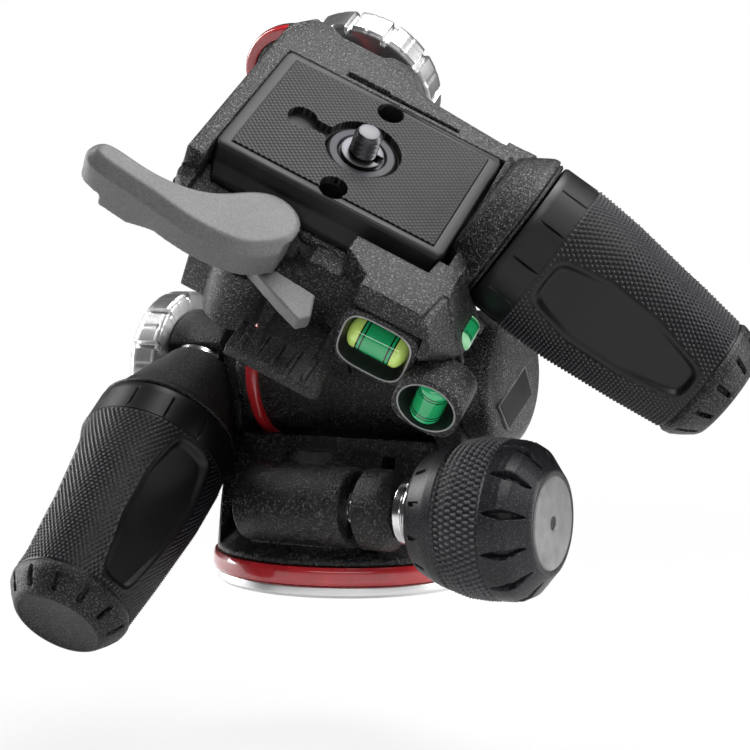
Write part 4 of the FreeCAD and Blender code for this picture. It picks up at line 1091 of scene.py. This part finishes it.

# %% [markdown]
# ## Three spirit levels
# Each level is a short vial, half sunk in the platform.  The pitch and plumb levels have a cup with
# a bezel and a dark lining, and the side level looks out of a window of the casting.  The bezel is
# painted pale grey as a painted highlight, for the bright edge of glossy black that catches the
# lamps, so the eye finds the cups at once on the black housing.  A cup could be cut out with a
# boolean, but its lip would stay sharp.  It is a skin stretched over a row of outlines instead: out
# along the side, over the rounded lip and down to the floor.  Outlines that differ much confuse
# bridge_loops, so the skin joins them corner by corner.

# %% Outlines and skins
OUTLINE_CORNERS = 72


def oblong(half_wide, half_high, squareness, depth):
    """A rounded square or circle, standing at a depth along Z."""
    outline = []
    for step in range(OUTLINE_CORNERS):
        turn = math.tau * step / OUTLINE_CORNERS
        c, s = math.cos(turn), math.sin(turn)
        outline.append(Vector((math.copysign(abs(c) ** (2 / squareness), c) * half_wide,
                               math.copysign(abs(s) ** (2 / squareness), s) * half_high, depth)) * MM)
    return outline


def stretched(outlines, ends=(0, -1)):
    """A skin over a row of outlines, with a face on some of its ends, or joined to itself."""
    mesh = bmesh.new()
    rows = [[mesh.verts.new(point) for point in outline] for outline in outlines]
    for below, above in zip(rows, rows[1:] + ([] if ends else rows[:1])):
        for k in range(len(below)):
            mesh.faces.new((below[k - 1], below[k], above[k], above[k - 1]))
    for end in ends:
        mesh.faces.new(rows[end])
    return mesh


def facing(a, b, n, direction, across=(0, 0, 1)):
    """A frame on the plate's axes at a, b, n whose Z looks along a direction of those axes."""
    turn = PLATE.to_3x3()
    place = PLATE @ (Vector((a, b, n)) * MM)
    return bench(place, turn @ Vector(direction), turn @ Vector(across))


# %% Level cups
FLANK_SHARP = math.radians(25)
FLANK_ROUND = 0.9 * MM


def level_cup(name, place, size, squareness, depth, floor, stands_for=()):
    """A housing with a sunk cup, its bezel and its lining; its Z looks at the reader of the level."""
    def outlines(*rows, corner=0):
        return [oblong(size[0] - inset, size[1] - inset, squareness + corner, at) for inset, at in rows]

    side = outlines((0, -depth), (0, -0.5), (0.15, -0.15), (0.5, 0), corner=1)
    inside = outlines((1.0, 0), (1.25, -0.3), (1.7, -floor + 1.2), (2.4, -floor + 0.3), (3.4, -floor))
    rim = outlines((1.32, -1.2), (0.95, -0.6), (0.9, 0.12), (1.25, 0.12), (1.55, -1.2))
    lining = outlines((1.25, 0.1), (1.7, -1.2), (1.75, -floor + 1.6), (2.5, -floor + 0.5),
                      (3.5, -floor + 0.2))
    piece(name, stretched(side + inside), place, "platform", PLATFORM_COAT, stands_for,
          smooth_angle=50)
    piece(name + "_bezel", stretched(rim, ()), place, "platform", BEZEL_PAINTED_HIGHLIGHT, (), smooth_angle=50)
    piece(name + "_lining", stretched(lining, (-1,)), place, "platform", COVER, (),
          smooth_angle=50)


def level_flank():
    """The slanted corner between the windows, which runs on into the platform's skirt."""
    sections = (
        (-18, (26, -1.2), (31.4, -1.2), (39.6, -15.5), (38.8, -18), (33.5, -17), (31.6, -15), (29, -10),
         (26, -8)),
        (-26, (25, -1.2), (31.4, -1.4), (38.8, -14), (38.3, -17), (33.5, -17), (31.6, -15), (30, -10),
         (25, -8)),
        (-30, (25, -1.4), (31.2, -1.8), (36.2, -11), (36.0, -14), (33, -16), (31.3, -15), (31.2, -6.9),
         (25, -6.9)),
        (-34.4, (24, -2.2), (30.6, -3.0), (33.2, -8.6), (33.0, -11.4), (31.9, -13), (31.1, -12),
         (30.9, -7.0), (24, -7.0)),
    )
    mesh = stretched([[Vector((a, b, n)) * MM for a, n in corners] for b, *corners in sections])
    edges = [edge for edge in mesh.edges if edge.calc_face_angle(0) > FLANK_SHARP]
    bmesh.ops.bevel(mesh, geom=edges, offset=FLANK_ROUND, segments=4, profile=0.5, affect="EDGES",
                    material=-1)
    return piece("level_flank", mesh, PLATE, "platform", PLATFORM_COAT, ())


level_flank()
level_cup("pitch_level_cup", facing(22.6, -34.7, -15.7, (0, -1, 0)), (8.2, 8.6), 3.6, 6.5, 4.5,
          ["level_housing"])
level_cup("plumb_level_cup", facing(37.5, -37.0, -21.5, (0, -1, 0)), (7.2, 7.4), 2.0, 9.0, 5.5)
print("pieces so far", len(finished))

# %% [markdown]
# A vial is a straight tube with round ends.  It is spun like the knobs, and its own frame goes to
# its paint, so that the rings sit square to it whichever way it lies.

# %% Vials
END_STEPS = 8
END_SHARE = 0.6


def vial(name, node, place, radius, length, pale):
    """A vial with round ends, its liquid dyed green."""
    half = length / 2
    turns = [math.pi / 2 * step / END_STEPS for step in range(1, END_STEPS + 1)]
    bend = [(radius * math.sin(turn), half - radius * END_SHARE * (1 - math.cos(turn))) for turn in turns]
    profile = [(0, -half)] + [(r, -z) for r, z in bend] + [(r, z) for r, z in reversed(bend)] + [(0, half)]
    return piece(name, turned_mesh(profile, 64), place, "platform",
                 vial_paint(name + "_liquid", place, half, pale), [node], smooth_angle=80)


vial("pitch_level_vial", "pitch_vial", facing(22.6, -31.6, -16.4, (1, 0, 0)), 3.4, 13.4, (0.5, 0.7, 0.16))
vial("plumb_level_vial", "plumb_vial", facing(37.5, -34.0, -21.5, (0, 0, 1), (1, 0, 0)), 3.4, 11.6,
     (0.02, 0.4, 0.15))
vial("side_level_vial", "side_vial", facing(36.7, -20.8, -13.5, (0, 1, 0)), 2.8, 8.4, (0.3, 0.68, 0.36))
print("pieces so far", len(finished))

# %% [markdown]
# ## The camera screw
# The screw is captive: a clip holds it in its washer, so it stands ready in the middle of the pad.
# A 1/4 inch thread has twenty turns to the inch, which is a pitch of 1.27 mm.  The screw's head is
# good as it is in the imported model, so only the tip is turned anew and threaded, and the two are
# joined in one mesh.

# %% Screw, washer and clip
TIP_PITCH = 1.27
TIP_DEPTH = 0.75
TIP_RADIUS = 3.1
HEAD_TOP = -2 * MM


def camera_screw():
    """The threaded tip of the camera screw on top of its plain head."""
    radius = TIP_RADIUS
    top = turned_size(PLATE, "camera_screw")[3]
    mesh = bmesh.new()
    mesh.from_mesh(nodes["camera_screw"].data)
    mesh.transform(PLATE.inverted())
    bmesh.ops.delete(mesh, geom=[vertex for vertex in mesh.verts if vertex.co.z > HEAD_TOP], context="VERTS")
    rows = [(radius, at) for at in even_steps(-0.5, top - 0.7, TIP_PITCH / 8)]
    profile = [(0, -5.0), (2.5, -5.0), (2.5, -0.8)] + rows
    profile += [(radius - 0.7, top - 0.1), (radius - 1.0, top), (0, top)]
    rod = turned_mesh(profile, ROD_STEPS)
    press(rod, thread(radius, TIP_PITCH, TIP_DEPTH))
    tip = bpy.data.meshes.new("camera_screw_tip")
    rod.to_mesh(tip)
    rod.free()
    mesh.from_mesh(tip)
    bpy.data.meshes.remove(tip)
    return piece("camera_screw_threaded", mesh, PLATE, "camera_screw", PLATE_STEEL, ["camera_screw"])


def screw_washer():
    """The cup washer that the screw's head turns in."""
    bore, radius, low, high = turned_size(PLATE, "screw_washer")
    profile = [(bore, low), (radius - 0.3, low), (radius, low + 0.3), (radius, high - 0.5),
               (radius - 0.5, high), (radius - 2.1, high), (radius - 2.6, high - 0.7), (bore, high - 0.7)]
    return turned_piece("screw_cup_washer", profile, PLATE, "platform", WASHER_STEEL, ["screw_washer"],
                        edge=0.15)


camera_screw()
screw_washer()
softened("screw_clip_ring", "screw_clip", "platform", PLATE_STEEL, 0.1, 2, "bright_steel")
print("pieces so far", len(finished))

# %% [markdown]
# ## The end cap
# The cap closes the tilt axle with a shallow dome, and carries a small plate that stays blank.  The
# dome is turned.  The plate is a four-cornered face that is extruded and bevelled, once for its pale
# rim and once, a little smaller and prouder, for the dark plate inside it, which needs no boolean.

# %% End cap and its blank plate
_, CAP_RADIUS, CAP_LOW, CAP_HIGH = turned_size(CAP_AXLE, "tilt_end_cap")
SHOULDER_DROP = 4.2
CAP_PLATE_CORNERS = ((-10.5, -5.7), (3.7, 2.6), (8.1, -4.0), (-5.1, -11.4))
INNER_SCALE = 0.93
INNER_SHIFT = (-0.1, -0.35)
dome = [(0, CAP_LOW), (CAP_RADIUS - 0.6, CAP_LOW), (CAP_RADIUS, CAP_LOW + 0.7), (CAP_RADIUS, CAP_HIGH - 3.2)]
dome += [(CAP_RADIUS - SHOULDER_DROP * share * share, CAP_HIGH - 3.2 + 2.6 * math.sin(share * math.pi / 2))
         for share in (0.2, 0.4, 0.6, 0.8, 1.0)]
dome += [((CAP_RADIUS - SHOULDER_DROP) * (1 - share), CAP_HIGH - 0.6 + 0.6 * (1 - (1 - share) ** 2))
         for share in (0.33, 0.66, 1.0)]
turned_piece("end_cap_dome", dome, CAP_AXLE, "pan", CAP_BLACK, ["tilt_end_cap"], edge=0.3,
             hollow=False)


def cap_plate(name, corners, bottom, top, paint):
    """A blank four-cornered plate on the dome, with rounded edges."""
    mesh = bmesh.new()
    face = mesh.faces.new([mesh.verts.new(Vector((up, -away, bottom)) * MM) for away, up in corners])
    raised = bmesh.ops.extrude_face_region(mesh, geom=[face])["geom"]
    bmesh.ops.translate(mesh, verts=[item for item in raised if isinstance(item, bmesh.types.BMVert)],
                        vec=(0, 0, (top - bottom) * MM))
    bmesh.ops.bevel(mesh, geom=mesh.edges, offset=0.15 * MM, segments=2, profile=0.5, affect="EDGES",
                    material=-1)
    return piece(name, mesh, CAP_AXLE, "pan", paint, ())


inner_corners = [(away * INNER_SCALE + INNER_SHIFT[0], up * INNER_SCALE + INNER_SHIFT[1])
                 for away, up in CAP_PLATE_CORNERS]
cap_plate("end_cap_plate_rim", CAP_PLATE_CORNERS, CAP_HIGH - 3.0, CAP_HIGH + 0.05, CAP_RIM)
cap_plate("end_cap_blank_plate", inner_corners, CAP_HIGH - 2.9, CAP_HIGH + 0.2, CAP_PLATE)
print("all pieces", len(finished))

# %% [markdown]
# ## A floor of white paper
# The head stands a little above a sheet of paper, as if on its tripod.  A bright lamp could bleach
# the paper, but it would light the head as well.  So camera rays see the paper as plain white, while
# every other ray meets grey paper.  Near the head a share of the real paper shows through, and
# with it the soft shadow.

# %% Paper floor
FLOOR_DROP = 0.03
FLOOR_SIZE = 6.0
PAPER_GREY = 0.62
SHADOW_SHARE = 0.22
SHADOW_REACH = 0.5
low_corner, high_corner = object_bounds()
FLOOR_HEIGHT = low_corner.z - FLOOR_DROP


def paper(name):
    """White paper that keeps a soft shadow near the head and fades to pure white around it."""
    sheet = Paint(name, roughness=0.9)
    sheet.set("Base Color", (*grey(PAPER_GREY), 1))
    spot = sheet.spot((0, 0, FLOOR_HEIGHT), (0, 0, 0), (SHADOW_REACH, SHADOW_REACH, SHADOW_REACH))
    near = sheet.node("ShaderNodeTexGradient", {"gradient_type": "SPHERICAL"}, spot, output=1)
    camera_ray = sheet.node("ShaderNodeLightPath", {})
    white = sheet.node("ShaderNodeEmission", {}, (1, 1, 1, 1), 1.0)
    surface = Wire(sheet, sheet.shader.outputs[0])
    mixed = sheet.node("ShaderNodeMixShader", {}, camera_ray * (1 - SHADOW_SHARE * near), surface, white)
    output = next(node for node in sheet.tree.nodes if node.type == "OUTPUT_MATERIAL")
    sheet.feed(output.inputs["Surface"], mixed)
    return sheet.material


floor_mesh = bmesh.new()
bmesh.ops.create_grid(floor_mesh, x_segments=1, y_segments=1, size=FLOOR_SIZE / 2)
bmesh.ops.translate(floor_mesh, verts=floor_mesh.verts, vec=(0, 0, FLOOR_HEIGHT))
floor_data = bpy.data.meshes.new("studio_floor")
floor_mesh.to_mesh(floor_data)
floor_mesh.free()
floor_data.materials.append(paper("floor_paper"))
studio_floor = bpy.data.objects.new("studio_floor", floor_data)
bpy.context.scene.collection.objects.link(studio_floor)
print("floor mm below the base", FLOOR_DROP / MM)

# %% [markdown]
# ## A studio of five lamps
# Black needs something bright to reflect.  An even white world would do, but it turns every black
# coat grey.  So the world lights the head only faintly, though camera rays see it white, and lamps
# do the rest: a broad one overhead models the tops, a tall strip on each side draws the edges, and a
# low strip and a small softbox in front open up the shadows.

# %% World and lamps
FILL_STRENGTH = 0.04
HEAD_CENTRE = (low_corner + high_corner) / 2

world = bpy.data.worlds.new("studio_world")
bpy.context.scene.world = world
world.use_nodes = True
world.node_tree.nodes.clear()
sky = Recipe(world.node_tree)
camera_ray = sky.node("ShaderNodeLightPath", {})
fill = sky.node("ShaderNodeBackground", {}, Strength=FILL_STRENGTH)
white = sky.node("ShaderNodeBackground", {}, (1, 1, 1, 1))
sky.node("ShaderNodeOutputWorld", {}, sky.node("ShaderNodeMixShader", {}, camera_ray, fill, white))


def lamp(name, power, size, place):
    """A rectangular lamp that looks at the head's centre."""
    data = bpy.data.lights.new(name, "AREA")
    data.shape = "RECTANGLE"
    data.size, data.size_y = size
    data.energy = power
    made = bpy.data.objects.new(name, data)
    bpy.context.scene.collection.objects.link(made)
    made.location = HEAD_CENTRE + Vector(place)
    made.rotation_euler = Vector(place).to_track_quat("Z", "Y").to_euler()
    return made


lamp("top_softbox", 9.0, (0.6, 0.5), (0.2, 0.14, 0.8))
lamp("left_strip", 9.0, (0.16, 0.9), (-0.75, -0.05, 0.2))
lamp("right_strip", 8.0, (0.16, 0.9), (0.8, 0.4, 0.15))
lamp("front_strip", 1.0, (0.9, 0.1), (0.35, -0.85, 0.1))
lamp("front_softbox", 2.6, (0.3, 0.3), (0.4, -0.4, 0.65))
print("lamps", len(bpy.data.lights))
